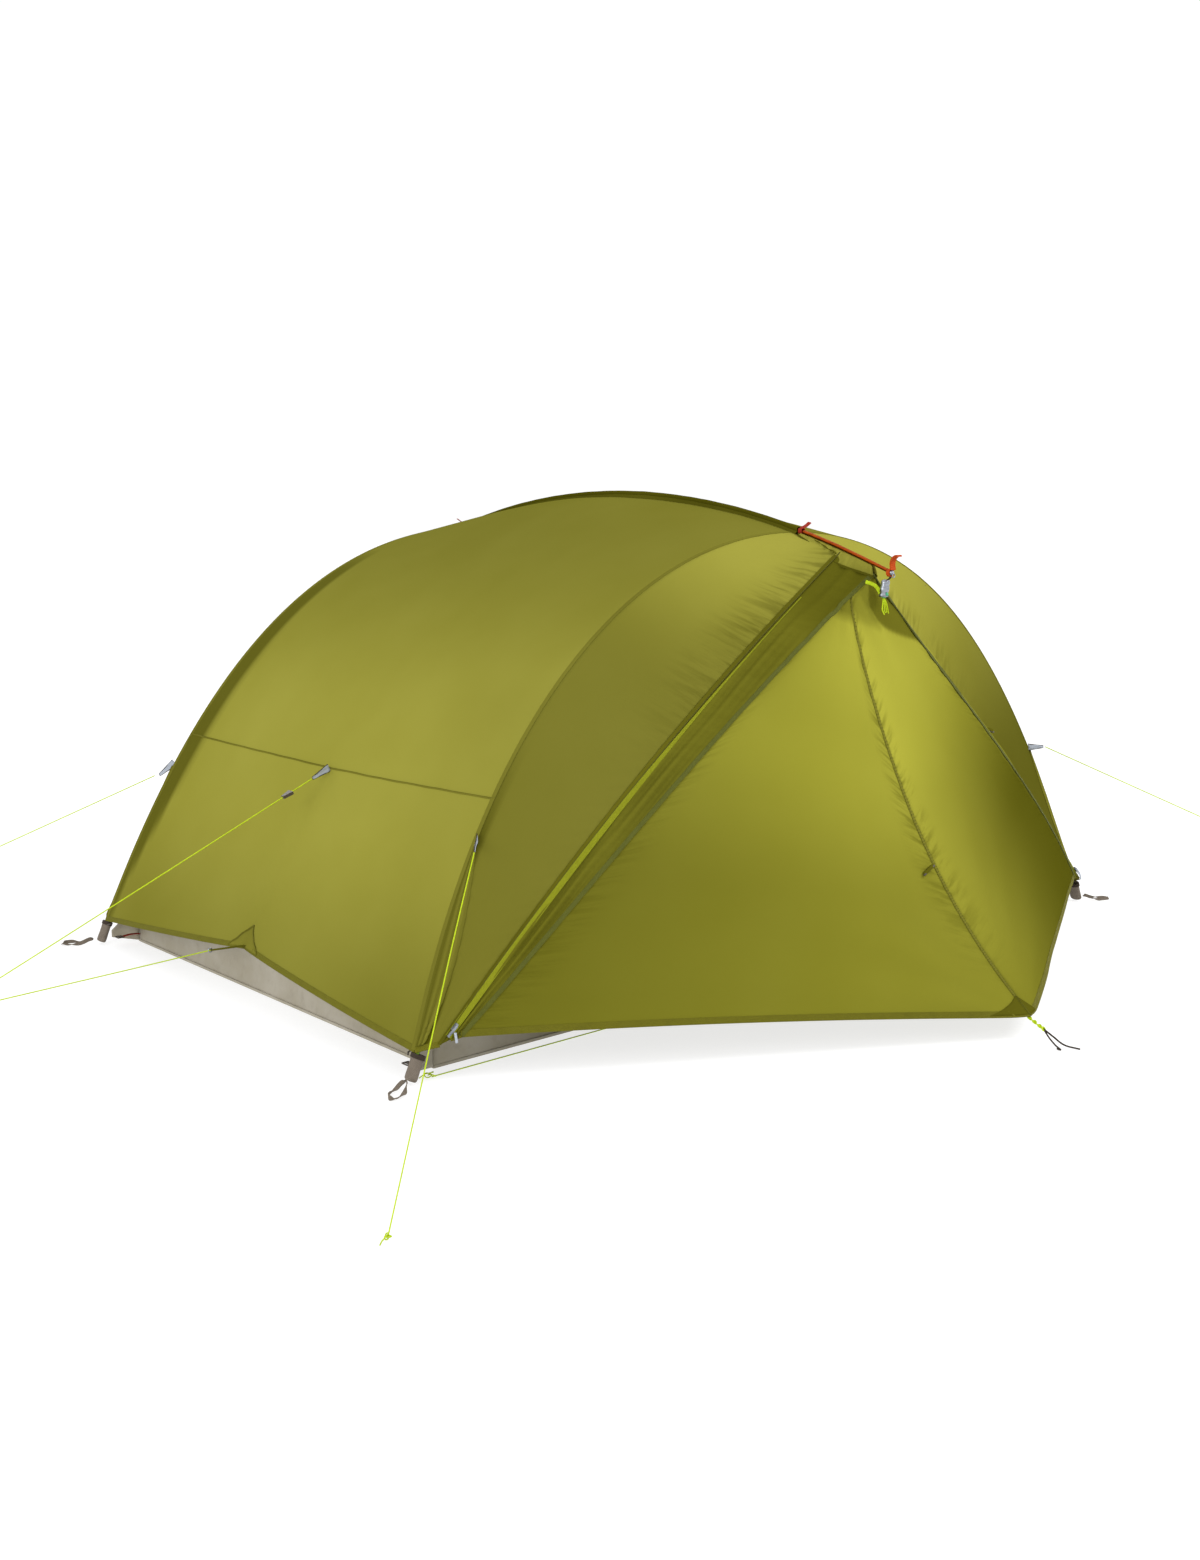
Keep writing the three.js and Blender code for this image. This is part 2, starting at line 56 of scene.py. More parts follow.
# ---------- driving dimensions, the same curves as the CAD frame ----------
POLE_R = 0.0044
ARCH_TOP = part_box("front_arch_pole")[1][2] - POLE_R
ARCH_END = 1.143
ARCH_OUTLINE = [(ARCH_END, 0.0), (1.068, 0.174), (0.793, ARCH_TOP), (0.0, ARCH_TOP)]
FOOT_Y = 0.689
ARCH_LEAN = 0.136
ARCH_LEAN_CURVE = 0.071
RIDGE_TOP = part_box("ridge_pole")[1][2] - POLE_R
RIDGE_CURVE = 0.2113
RIDGE_REACH = 0.905
ROOF_GAP = 0.010
STAKE_Y = 1.315
STAKE_Z = 0.050
HEM_CORNER = 0.060
END_SEAM_Z = 0.520
ZIP_FOOT = (1.096, 0.723, 0.078)
ZIP_TOP_Y = 0.770
ZIP_BOW = 0.033
PIPING_CURVE = [(1.054, 0.736, 0.077), (0.762, 0.813, 0.388), (0.349, 0.794, 0.692), (0.0, 0.860, 0.957)]
APEX_CURVE = [(STAKE_Y, STAKE_Z), (0.985, 0.310), (0.860, 0.947)]
FRONT, BACK, LEFT, RIGHT = -1, 1, -1, 1
SIDE = {FRONT: "front", BACK: "back"}
END = {LEFT: "left", RIGHT: "right"}
CORNERS = [(side, end) for side in (FRONT, BACK) for end in (LEFT, RIGHT)]
SIDEWAYS, FORWARD, UP = Vector((1, 0, 0)), Vector((0, 1, 0)), Vector((0, 0, 1))


def corner_name(side, end):
    return f"{SIDE[side]}_{END[end]}"


def lerp(a, b, k):
    return a + (b - a) * k


def clamp(x, low=0.0, high=1.0):
    return max(low, min(high, x))


def smooth(low, high, x):
    """Smooth step from 0 at low to 1 at high; low may be above high."""
    k = clamp((x - low) / (high - low))
    return k * k * (3 - 2 * k)


# ---------- curves ----------
def bezier(points, u):
    n = len(points) - 1
    weights = [math.comb(n, i) * (1 - u) ** (n - i) * u**i for i in range(n + 1)]
    return tuple(sum(w * p[axis] for w, p in zip(weights, points)) for axis in range(len(points[0])))


def arch_outline(u):
    return bezier(ARCH_OUTLINE, u)


def arch_point(t, side):
    x, z = arch_outline(1 - abs(t))
    y = FOOT_Y - ARCH_LEAN * z + ARCH_LEAN_CURVE * z * z
    return Vector((math.copysign(x, t), side * y, z))


def arch_offset(t, side, distance, outward=0.0):
    before = arch_point(max(t - 0.01, -1), side)
    after = arch_point(min(t + 0.01, 1), side)
    normal = Vector((before.z - after.z, 0, after.x - before.x)).normalized()
    point = arch_point(t, side) + normal * distance
    point.y += side * outward
    return point


def arch_parameter(height):
    low, high = 0.0, 1.0
    for _ in range(40):
        middle = (low + high) / 2
        if arch_outline(1 - middle)[1] > height:
            low = middle
        else:
            high = middle
    return (low + high) / 2


def arch_seam(t, side):
    low = 1 - arch_point(t, side).z / ARCH_TOP
    return arch_offset(t, side, 0.009 + 0.002 * low, 0.005 * low)


def ridge_z(y):
    return RIDGE_TOP - RIDGE_CURVE * y * y


HEM_T = arch_parameter(HEM_CORNER)
SEAM_T = arch_parameter(END_SEAM_Z)


def hem_height(v):
    return HEM_CORNER + 0.062 * (1 - abs(v) ** 0.9)


def roof_point(t, v):
    front, back = arch_seam(t, FRONT), arch_seam(t, BACK)
    point = front.lerp(back, (v + 1) / 2)
    crown = RIDGE_TOP - ROOF_GAP - arch_seam(0, FRONT).z
    near_ridge = math.exp(-((point.x / 0.330) ** 2))
    low = 1 - point.z / ARCH_TOP
    pull = max(0.0, 1 - point.z / END_SEAM_Z)
    lift = crown * near_ridge - 0.022 * (1 - near_ridge) + 0.062 * pull * pull
    outward = Vector((math.copysign(min(1, 1.4 * low), t), 0, 1 - 0.8 * low)).normalized()
    return point + outward * lift * (1 - v * v)


class ZipArc:
    """The shallow arc of one zip, from the hem corner up to the ridge line."""

    def __init__(self, side, end):
        foot = Vector((end * ZIP_FOOT[0], side * ZIP_FOOT[1], ZIP_FOOT[2]))
        top = Vector((end * 0.008, side * ZIP_TOP_Y, ridge_z(ZIP_TOP_Y) - ROOF_GAP))
        half = (top - foot).length / 2
        self.along = (top - foot).normalized()
        up = Vector((end * 0.65, 0, 0.76))
        self.up = (up - self.along * up.dot(self.along)).normalized()
        self.radius = half * half / (2 * ZIP_BOW) + ZIP_BOW / 2
        self.centre = (foot + top) / 2 + self.up * (ZIP_BOW - self.radius)
        self.sweep = math.asin(half / self.radius)

    def at(self, s):
        angle = lerp(-self.sweep, self.sweep, s)
        return self.centre + self.radius * (self.up * math.cos(angle) + self.along * math.sin(angle))


ZIPS = {corner: ZipArc(*corner) for corner in CORNERS}


def apex_point(s, side):
    y, z = bezier(APEX_CURVE, s)
    return Vector((0, side * y, z))


BAND_SHARE = 0.24


def door_edge_and_piping(s, side, end):
    edge = ZIPS[side, end].at(s)
    x, y, z = bezier(PIPING_CURVE, s)
    piping = Vector((end * x, side * y, z))
    edge = edge + (piping - edge).normalized() * 0.003
    return edge, piping, apex_point(s, side)


def door_point(s, w, side, end):
    edge, piping, apex = door_edge_and_piping(s, side, end)
    if w <= BAND_SHARE:
        point = edge.lerp(piping, w / BAND_SHARE)
    else:
        across = (w - BAND_SHARE) / (1 - BAND_SHARE)
        rounding = 0.02 + 0.26 * math.sin(math.pi * s)
        away = 1 - across
        bend = (math.hypot(away, rounding) - rounding) / (math.hypot(1, rounding) - rounding)
        point = piping.lerp(apex, across)
        point.y = lerp(apex.y, piping.y, bend)
    point.z += 0.018 * (1 - s) ** 8 * 4 * w * (1 - w)
    return point


# ---------- camera ----------
def make_camera():
    azimuth, elevation, distance = math.radians(-41.22), math.radians(9.47), 4.28
    target = Vector((-0.101, -0.058, 0.404))
    back = Vector((
        math.sin(azimuth) * math.cos(elevation),
        -math.cos(azimuth) * math.cos(elevation),
        math.sin(elevation),
    ))
    data = bpy.data.cameras.new("camera")
    data.sensor_width = 36
    data.lens = 38.08
    camera = bpy.data.objects.new("camera", data)
    camera.location = target + back * distance
    camera.rotation_euler = (-back).to_track_quat("-Z", "Y").to_euler()
    bpy.context.collection.objects.link(camera)
    bpy.context.scene.camera = camera


make_camera()


# ---------- materials ----------
class Nodes:
    """A material's node tree, with short ways to add and join nodes."""

    def __init__(self, name):
        self.material = bpy.data.materials.new(name)
        self.material.use_nodes = True
        self.tree = self.material.node_tree
        self.shader = self.tree.nodes["Principled BSDF"]
        self.output = self.tree.nodes["Material Output"]

    def add(self, kind, **values):
        node = self.tree.nodes.new(kind)
        for key, value in values.items():
            if hasattr(node, key) and key not in node.inputs:
                setattr(node, key, value)
            else:
                node.inputs[key.replace("_", " ")].default_value = value
        return node

    def join(self, source, target):
        self.tree.links.new(source, target)

    def set(self, **values):
        for key, value in values.items():
            self.shader.inputs[key.replace("_", " ")].default_value = value


def rgb(code, alpha=1.0):
    code = code.lstrip("#")
    linear = []
    for i in (0, 2, 4):
        c = int(code[i:i + 2], 16) / 255
        linear.append(c / 12.92 if c <= 0.04045 else ((c + 0.055) / 1.055) ** 2.4)
    return (*linear, alpha)


def coordinates(n, scale, use="Object"):
    source = n.add("ShaderNodeTexCoord")
    mapping = n.add("ShaderNodeMapping")
    mapping.inputs["Scale"].default_value = scale if hasattr(scale, "__len__") else (scale,) * 3
    n.join(source.outputs[use], mapping.inputs["Vector"])
    return mapping.outputs["Vector"]


def noise_value(n, scale, detail, vector=None, **more):
    """Height of a noise texture, on object coordinates unless a vector is given."""
    texture = n.add("ShaderNodeTexNoise", Scale=scale, Detail=detail, **more)
    n.join(vector or coordinates(n, 1.0), texture.inputs["Vector"])
    return texture.outputs["Fac"]


def feed(n, value, socket):
    """Gives a socket either another node's output or a fixed value."""
    if hasattr(value, "links"):
        n.join(value, socket)
    else:
        socket.default_value = value


def mix_colour(n, factor, a, b):
    mix = n.add("ShaderNodeMix", data_type="RGBA")
    feed(n, factor, mix.inputs["Factor"])
    feed(n, a, mix.inputs[6])
    feed(n, b, mix.inputs[7])
    return mix.outputs[2]


def ramp(n, value, low, high, a=0.0, b=1.0):
    node = n.add("ShaderNodeMapRange", From_Min=low, From_Max=high, To_Min=a, To_Max=b)
    n.join(value, node.inputs["Value"])
    return node.outputs["Result"]


def math_node(n, operation, a, b=0.0):
    node = n.add("ShaderNodeMath", operation=operation)
    feed(n, a, node.inputs[0])
    feed(n, b, node.inputs[1])
    return node.outputs[0]


def grid_lines(n, vector, cell, width):
    """1 on the lines of a square grid over the vector's X and Y, 0 between them."""
    split = n.add("ShaderNodeSeparateXYZ")
    n.join(vector, split.inputs[0])
    lines = []
    for axis in ("X", "Y"):
        phase = math_node(n, "FRACT", math_node(n, "DIVIDE", split.outputs[axis], cell))
        lines.append(math_node(n, "LESS_THAN", phase, width))
    return math_node(n, "MAXIMUM", *lines)


def bump(n, height, strength, distance):
    node = n.add("ShaderNodeBump", Strength=strength, Distance=distance)
    n.join(height, node.inputs["Height"])
    n.join(node.outputs["Normal"], n.shader.inputs["Normal"])


RIPSTOP_CELL = 0.006
# Colour that the painted shade mixes towards.
SHADE_COLOUR = "#3d3b00"


def fly_material(name, light, dark, translucency=0.28):
    """Coated ripstop: fine grid, slow colour drift, and light coming through.

    The corner attribute "shade" paints shade into it, mixing towards SHADE_COLOUR, and "gather" gives it
    rucks, bumped and with painted shade in their hollows.
    """
    n = Nodes(name)
    drift = noise_value(n, 2.2, 3.0)
    ripstop = grid_lines(n, coordinates(n, 1.0, "UV"), RIPSTOP_CELL, 0.12)
    weave = noise_value(n, 900.0, 2.0)
    colour = mix_colour(n, ramp(n, drift, 0.3, 0.7), rgb(dark), rgb(light))
    colour = mix_colour(n, math_node(n, "MULTIPLY", ripstop, 0.07), colour, rgb(dark))
    shade = n.add("ShaderNodeAttribute", attribute_name="shade")
    # Painted shade from the "shade" attribute.
    colour = mix_colour(n, shade.outputs["Fac"], colour, rgb(SHADE_COLOUR))
    gather = n.add("ShaderNodeAttribute", attribute_name="gather").outputs["Fac"]
    ruck = noise_value(n, 1.0, 3.0, coordinates(n, (62, 7, 1), "UV"), Roughness=0.55)
    # Painted shade in the rucks' hollows, where the ruck noise is low.
    painted_ruck_shade = math_node(n, "MULTIPLY", ramp(n, ruck, 0.38, 0.54, 1.0, 0.0), gather)
    colour = mix_colour(n, math_node(n, "MULTIPLY", painted_ruck_shade, 0.42), colour, rgb(SHADE_COLOUR))
    n.join(colour, n.shader.inputs["Base Color"])
    n.join(ramp(n, weave, 0.3, 0.7, 0.40, 0.52), n.shader.inputs["Roughness"])
    n.set(Specular_IOR_Level=0.0)
    rucks = math_node(n, "MULTIPLY", math_node(n, "MULTIPLY", ruck, gather), 80.0)
    height = math_node(n, "ADD", math_node(n, "MULTIPLY", ripstop, 0.6), weave)
    bump(n, math_node(n, "ADD", height, rucks), 0.35, 0.0004)
    through = n.add("ShaderNodeBsdfTranslucent")
    n.join(colour, through.inputs["Color"])
    mix = n.add("ShaderNodeMixShader")
    mix.inputs["Fac"].default_value = translucency
    n.join(n.shader.outputs[0], mix.inputs[1])
    n.join(through.outputs[0], mix.inputs[2])
    n.join(mix.outputs[0], n.output.inputs["Surface"])
    return n.material


def woven_material(name, light, dark, thread=0.0012, roughness=0.8):
    """Webbing or cord: crossed threads that shade and raise the surface."""
    n = Nodes(name)
    wave = n.add("ShaderNodeTexWave", Scale=1.0, Distortion=0.6, Detail=1.0)
    n.join(coordinates(n, 1 / thread), wave.inputs["Vector"])
    colour = mix_colour(n, wave.outputs["Fac"], rgb(dark), rgb(light))
    colour = mix_colour(n, ramp(n, noise_value(n, 40.0, 4.0), 0.5, 0.8, 0.0, 0.35), colour, rgb(dark))
    n.join(colour, n.shader.inputs["Base Color"])
    n.set(Roughness=roughness, Specular_IOR_Level=0.15)
    bump(n, wave.outputs["Fac"], 0.5, thread * 0.3)
    return n.material


def metal_material(name, light, dark, roughness):
    """Drawn or cast metal with fine scratches and slightly worn colour."""
    n = Nodes(name)
    scratch = noise_value(n, 1.0, 5.0, coordinates(n, (60, 60, 900)))
    n.join(mix_colour(n, ramp(n, scratch, 0.35, 0.7), rgb(dark), rgb(light)), n.shader.inputs["Base Color"])
    n.join(ramp(n, scratch, 0.2, 0.8, roughness * 0.8, roughness * 1.3), n.shader.inputs["Roughness"])
    n.set(Metallic=1.0)
    bump(n, scratch, 0.1, 0.0002)
    return n.material


def plastic_material(name, colour):
    n = Nodes(name)
    grain = noise_value(n, 1400.0, 2.0)
    n.join(mix_colour(n, ramp(n, grain, 0.3, 0.7, 0.0, 0.25), rgb(colour), rgb("#6b6459")),
           n.shader.inputs["Base Color"])
    n.set(Roughness=0.45)
    bump(n, grain, 0.2, 0.0002)
    return n.material


def inner_material(name, light, dark, cell, openness):
    """Pale breathable fabric, or netting where openness is high."""
    n = Nodes(name)
    net = grid_lines(n, coordinates(n, 1.0, "UV"), cell, 0.35)
    colour = mix_colour(n, ramp(n, noise_value(n, 3.0, 2.0), 0.3, 0.7, 0.0, 0.5), rgb(light), rgb(dark))
    colour = mix_colour(n, math_node(n, "MULTIPLY", net, openness), colour, rgb(dark))
    n.join(colour, n.shader.inputs["Base Color"])
    n.set(Roughness=0.75, Sheen_Weight=0.2)
    bump(n, net, 0.3, 0.0004)
    return n.material


def floor_material():
    """Coated nylon with creases and scuffs; the creases' hollows are darkened with painted shade."""
    n = Nodes("tub_nylon")
    crease = noise_value(n, 9.0, 5.0, Roughness=0.6)
    scuff = ramp(n, noise_value(n, 45.0, 4.0), 0.55, 0.75, 0.0, 0.35)
    # Painted shade: darker where the crease bump is low.
    colour = mix_colour(n, ramp(n, crease, 0.3, 0.7), rgb("#857d68"), rgb("#979080"))
    n.join(mix_colour(n, scuff, colour, rgb("#6f6757")), n.shader.inputs["Base Color"])
    n.set(Roughness=0.5, Sheen_Weight=0.15)
    bump(n, crease, 0.35, 0.004)
    return n.material


FLY = fly_material("fly_ripstop", "#a6a245", "#9c983b")
# Brighter copy of the fly's colours: painted light for the door's lit top, with painted shade darkening the
# rest.
DOOR = fly_material("door_ripstop", "#b0ad40", "#a7a437")
BINDING = woven_material("edge_binding", "#6d6a12", "#4b4806", 0.0015)
SEAM = fly_material("seam_fabric", "#75722a", "#625f20", 0.10)
# Doubled fabric, also used for a painted shadow line under the awning flaps.
DOUBLED_AND_PAINTED_SHADOW = fly_material("doubled_fabric_and_painted_shadow", "#5c5916", "#47450e", 0.06)
DARK_ZIP = woven_material("zip_coil", "#5d5b14", "#3b390a", 0.0012)
REFLECTIVE = woven_material("reflective_tab", "#b9bfc9", "#8d949f", 0.0010, 0.45)
PIPING = woven_material("piping_tape", "#5c5f22", "#424510", 0.0015)
ZIP_TAPE = woven_material("zip_tape", "#868a14", "#6c700a", 0.0014)
WEBBING = woven_material("grey_webbing", "#80766a", "#574e44", 0.0016)
DARK_WEBBING = woven_material("dark_webbing", "#40362d", "#261f18", 0.0016)
ORANGE_WEBBING = woven_material("orange_webbing", "#c9500f", "#8e3206", 0.0014)
RED_WEBBING = woven_material("red_webbing", "#a3301c", "#6e1c10", 0.0014)
NEON = woven_material("neon_cord", "#c3da1e", "#9bb00c", 0.0011, 0.6)
POLE_GREEN = metal_material("anodised_green", "#7d9a34", "#5f7d22", 0.3)
POLE_ORANGE = metal_material("anodised_orange", "#c4581a", "#8c3a0d", 0.26)
SILVER = metal_material("satin_silver", "#a9aeb6", "#7d8289", 0.35)
DARK_PLASTIC = plastic_material("dark_plastic", "#33291f")
GREEN_PLASTIC = plastic_material("green_plastic", "#1f9a6a")
INNER = inner_material("inner_fabric", "#d5d2bf", "#b9b69f", 0.006, 0.35)
NETTING = inner_material("inner_netting", "#3c3b34", "#18170f", 0.003, 0.8)
TUB = floor_material()


# ---------- mesh helpers ----------
CLOTH = 0.0007
DOUBLED = 0.0008
FINE_WELD = 0.00005


def add_object(name, mesh, material, body="tent", smooth_shading=True):
    obj = bpy.data.objects.new(name, mesh)
    bpy.context.collection.objects.link(obj)
    for m in (material if isinstance(material, (list, tuple)) else [material]):
        mesh.materials.append(m)
    for face in mesh.polygons:
        face.use_smooth = smooth_shading
    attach(obj, body)
    return obj


def thicken(obj, thickness):
    modifier = obj.modifiers.new("thickness", "SOLIDIFY")
    modifier.thickness = thickness
    modifier.offset = 0.0
    return obj


def mesh_from(name, vertices, faces):
    mesh = bpy.data.meshes.new(name)
    mesh.from_pydata(vertices, [], faces)
    return mesh


def outward_faces(mesh, weld=None):
    """Welds points closer than weld, if given, and turns every face outward."""
    b = bmesh.new()
    b.from_mesh(mesh)
    if weld:
        bmesh.ops.remove_doubles(b, verts=b.verts, dist=weld)
    bmesh.ops.recalc_face_normals(b, faces=b.faces)
    b.to_mesh(mesh)
    b.free()
    return mesh


def grid_mesh(name, grids, weld=0.0002):
    """Mesh from grids of (point, uv, shade[, gather]); grids that share edge points are welded."""
    vertices, faces, corners = [], [], []
    for grid in grids:
        rows, columns = len(grid), len(grid[0])
        start = len(vertices)
        for row in grid:
            vertices.extend(entry[0] for entry in row)
        for i in range(rows - 1):
            for j in range(columns - 1):
                corner = [(i, j), (i + 1, j), (i + 1, j + 1), (i, j + 1)]
                faces.append([start + a * columns + b for a, b in corner])
                corners.extend(grid[a][b][1:] for a, b in corner)
    mesh = mesh_from(name, vertices, faces)
    layer = mesh.uv_layers.new(name="UVMap")
    for loop, corner in zip(layer.data, corners):
        loop.uv = corner[0]
    for k, key in enumerate(("shade", "gather")):
        values = [corner[k + 1] if len(corner) > k + 1 else 0.0 for corner in corners]
        mesh.attributes.new(key, "FLOAT", "CORNER").data.foreach_set("value", values)
    return outward_faces(mesh, weld)


def ribbon(name, path, across, width, thickness, material, body="tent", lift=0.0):
    """Flat tape along path; across(i) is the tape's sideways direction at point i."""
    vertices, faces = [], []
    count = len(path)
    for i, point in enumerate(path):
        ahead = (path[min(i + 1, count - 1)] - path[max(i - 1, 0)]).normalized()
        sideways = across(i)
        sideways = (sideways - ahead * sideways.dot(ahead)).normalized()
        normal = ahead.cross(sideways)
        centre = point + normal * lift
        wide = width(i / (count - 1)) if callable(width) else width
        for a, b in ((-1, -1), (1, -1), (1, 1), (-1, 1)):
            vertices.append(centre + sideways * (a * wide / 2) + normal * (b * thickness / 2))
    for i in range(count - 1):
        for k in range(4):
            a, b = 4 * i + k, 4 * i + (k + 1) % 4
            faces.append((a, b, b + 4, a + 4))
    faces.append((3, 2, 1, 0))
    last = 4 * (count - 1)
    faces.append((last, last + 1, last + 2, last + 3))
    mesh = outward_faces(mesh_from(name, vertices, faces))
    return add_object(name, mesh, material, body, smooth_shading=False)


def tube(name, path, radius, material, sides=8):
    """Round rod along path, closed at both ends."""
    vertices, faces = [], []
    count = len(path)
    side_axis = None
    for i, point in enumerate(path):
        ahead = (path[min(i + 1, count - 1)] - path[max(i - 1, 0)]).normalized()
        if side_axis is None:
            side_axis = ahead.orthogonal().normalized()
        side_axis = (side_axis - ahead * side_axis.dot(ahead)).normalized()
        other = ahead.cross(side_axis)
        r = radius(i / (count - 1)) if callable(radius) else radius
        for k in range(sides):
            angle = 2 * math.pi * k / sides
            vertices.append(point + side_axis * (r * math.cos(angle)) + other * (r * math.sin(angle)))
    for i in range(count - 1):
        for k in range(sides):
            a, b = i * sides + k, i * sides + (k + 1) % sides
            faces.append((a, b, b + sides, a + sides))
    faces.append(tuple(range(sides))[::-1])
    faces.append(tuple(range((count - 1) * sides, count * sides)))
    return add_object(name, mesh_from(name, vertices, faces), material)


def circle(centre, a, b, steps):
    """Closed path round centre; a and b are its two half axes."""
    angles = [2 * math.pi * k / steps for k in range(steps + 1)]
    return [centre + a * math.cos(t) + b * math.sin(t) for t in angles]


def ring(name, centre, a, b, radius, thickness, material):
    return tube(name, circle(centre, a * radius, b * radius, 28), thickness, material)


def through_points(points, steps):
    """Catmull-Rom curve through the points."""
    points = [Vector(p) for p in points]
    line = []
    for i in range(len(points) - 1):
        p0 = points[i - 1] if i else 2 * points[0] - points[1]
        p3 = points[i + 2] if i + 2 < len(points) else 2 * points[-1] - points[-2]
        p1, p2 = points[i], points[i + 1]
        for k in range(steps):
            u = k / steps
            line.append(0.5 * (2 * p1 + (p2 - p0) * u + (2 * p0 - 5 * p1 + 4 * p2 - p3) * u * u
                               + (3 * p1 - p0 - 3 * p2 + p3) * u**3))
    line.append(points[-1])
    return line


def path_length(path):
    return sum((b - a).length for a, b in zip(path, path[1:]))


# ---------- cords ----------
CORD_D = 0.0025
ROUTES = {
    "front_left_guy": [(-0.972, -0.676, 0.432), (-1.169, -0.860, 0.292), (-1.366, -1.047, 0.147),
                       (-1.563, -1.234, 0.002)],
    "front_right_guy": [(0.978, -0.675, 0.455), (1.240, -0.892, 0.303), (1.501, -1.109, 0.152),
                        (1.695, -1.270, 0.040)],
    "back_left_guy": [(-0.982, 0.677, 0.420), (-1.222, 0.873, 0.280), (-1.463, 1.069, 0.140),
                      (-1.704, 1.265, 0.002)],
    "left_end_guy": [(-0.926, 0, 0.490), (-1.296, 0, 0.326), (-1.670, 0, 0.161), (-1.952, 0, 0.040)],
    "hem_cord": [(-1.198, 0, 0.135), (-1.390, 0, 0.127), (-1.586, 0, 0.1195), (-1.772, 0, 0.1123)],
    "base_cord": [(-1.090, -0.687, 0.0017), (-0.360, -0.684, 0.0017), (0.360, -0.684, 0.0017),
                  (1.090, -0.687, 0.0017)],
}


def cord_curve(name, path):
    data = bpy.data.curves.new(name + "_line", "CURVE")
    data.dimensions = "3D"
    data.bevel_depth = CORD_D / 2
    data.bevel_resolution = 3
    data.use_fill_caps = True
    spline = data.splines.new("POLY")
    spline.points.add(len(path) - 1)
    for point, place in zip(spline.points, path):
        point.co = (*place, 1)
    obj = bpy.data.objects.new(name + "_line", data)
    bpy.context.collection.objects.link(obj)
    data.materials.append(NEON)
    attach(obj, "tent")
    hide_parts(name)
    return obj


def knot(name, centre, along, size=0.006, tail=0.03):
    """Overhand knot: a small trefoil with a loose end, lying where its cord ends."""
    along = along.normalized()
    side = along.cross(Vector((0, 0, 1))).normalized()
    up = side.cross(along)
    path = []
    for k in range(41):
        a = 2 * math.pi * k / 40 * 0.93
        x = (math.sin(a) + 2 * math.sin(2 * a)) / 3
        y = (math.cos(a) - 2 * math.cos(2 * a)) / 3
        z = -math.sin(3 * a) / 2
        path.append(centre + along * (x * size) + side * (y * size) + up * (z * size * 0.5))
    path.append(path[-1] + along * tail * 0.5 + side * tail * 0.25)
    path.append(path[-1] + along * tail * 0.5 - Vector((0, 0, tail * 0.1)))
    for p in path:
        p.z = max(p.z, CORD_D * 0.5)
    piece = tube(name, path, CORD_D * 0.45, NEON, 6)
    return piece


def make_cords():
    for name, route in ROUTES.items():
        path = through_points(route, 8)
        line = cord_curve(name, path)
        pieces = [bpy.data.objects["left_line_adjuster"]] if name == "left_end_guy" else []
        if name.endswith("guy"):
            pieces.append(knot(name + "_knot", path[-1] + Vector((0, 0, 0.003)), path[-1] - path[-2]))
        if name == "base_cord":
            start = Vector(route[0]) + Vector((-0.004, 0, 0.005))
            pieces.append(knot(name + "_knot", start, Vector((-1, -0.3, 0)), 0.012, 0.034))
        path_length(path)


make_cords()


# ---------- fabric surfaces ----------
INSIDE = Vector((0, 0, 0.25))


def facing_out(normal, point):
    """The normal, turned so that it points away from the inside of the tent."""
    normal = normal.normalized()
    return -normal if normal.dot(point - INSIDE) < 0 else normal


def fabric_grid(surface, rows, columns, offset, shade=None, gather=None):
    """Grid of (point, uv, shade, gather); offset(s, w, point) moves a point outward along the normal."""
    base = [[surface(i / rows, j / columns) for j in range(columns + 1)] for i in range(rows + 1)]
    grid = []
    for i in range(rows + 1):
        row = []
        for j in range(columns + 1):
            point = base[i][j]
            along = base[min(i + 1, rows)][j] - base[max(i - 1, 0)][j]
            across = base[i][min(j + 1, columns)] - base[i][max(j - 1, 0)]
            s, w = i / rows, j / columns
            moved = point + facing_out(along.cross(across), point) * offset(s, w, point)
            u = grid[i - 1][j][1][0] + (point - base[i - 1][j]).length if i else 0.0
            v = row[j - 1][1][1] + (point - base[i][j - 1]).length if j else 0.0
            row.append((moved, (u, v), shade(s, w, point) if shade else 0.0, gather(s, w) if gather else 0.0))
        grid.append(row)
    return grid


def pinned(k, sharp=0.5):
    """0 at both ends of a span and 1 in its middle: cloth is held at its seams."""
    return max(0.0, math.sin(math.pi * clamp(k))) ** sharp


def fan(point, root, reach, count, depth, axis=0):
    """Pull creases that spread out from a loaded corner and fade, seen along the other flat axis."""
    across, up = point[axis] - root[axis], point.z - root.z
    r = math.hypot(across, up)
    angle = math.atan2(up, across)
    ripple = math.cos(count * angle + 1.5 * noise.noise(Vector((angle * 2, r * 4, 0))))
    return depth * ripple * (r / reach) * math.exp(1 - r / reach)


def crease(point, a, b, width, depth):
    """One soft crease along the line from a to b on an end panel."""
    py, pz, dy, dz = point.y - a.y, point.z - a.z, b.y - a.y, b.z - a.z
    length = math.hypot(dy, dz)
    along = (py * dy + pz * dz) / length
    across = (py * dz - pz * dy) / length
    fade = smooth(-0.03, 0.03, along) * (1 - smooth(length - 0.03, length + 0.03, along))
    return depth * fade * math.exp(-((across / width) ** 2))


ROOF_ROWS = 150
ROOF_COLUMNS = 72
SIDE_COLUMNS = 22


def roof_surface(end):
    def surface(s, w):
        v = 2 * w - 1
        foot_t = arch_parameter(hem_height(v)) if abs(v) < 0.9999 else HEM_T
        return roof_point(end * lerp(foot_t, 0.0, s), v)
    return surface


def side_surface(side, end):
    def surface(s, w):
        point = arch_seam(end * lerp(HEM_T, 0.0, s), side).lerp(ZIPS[side, end].at(s), w)
        if s > 0.999:
            point.x = 0.0
        return point
    return surface


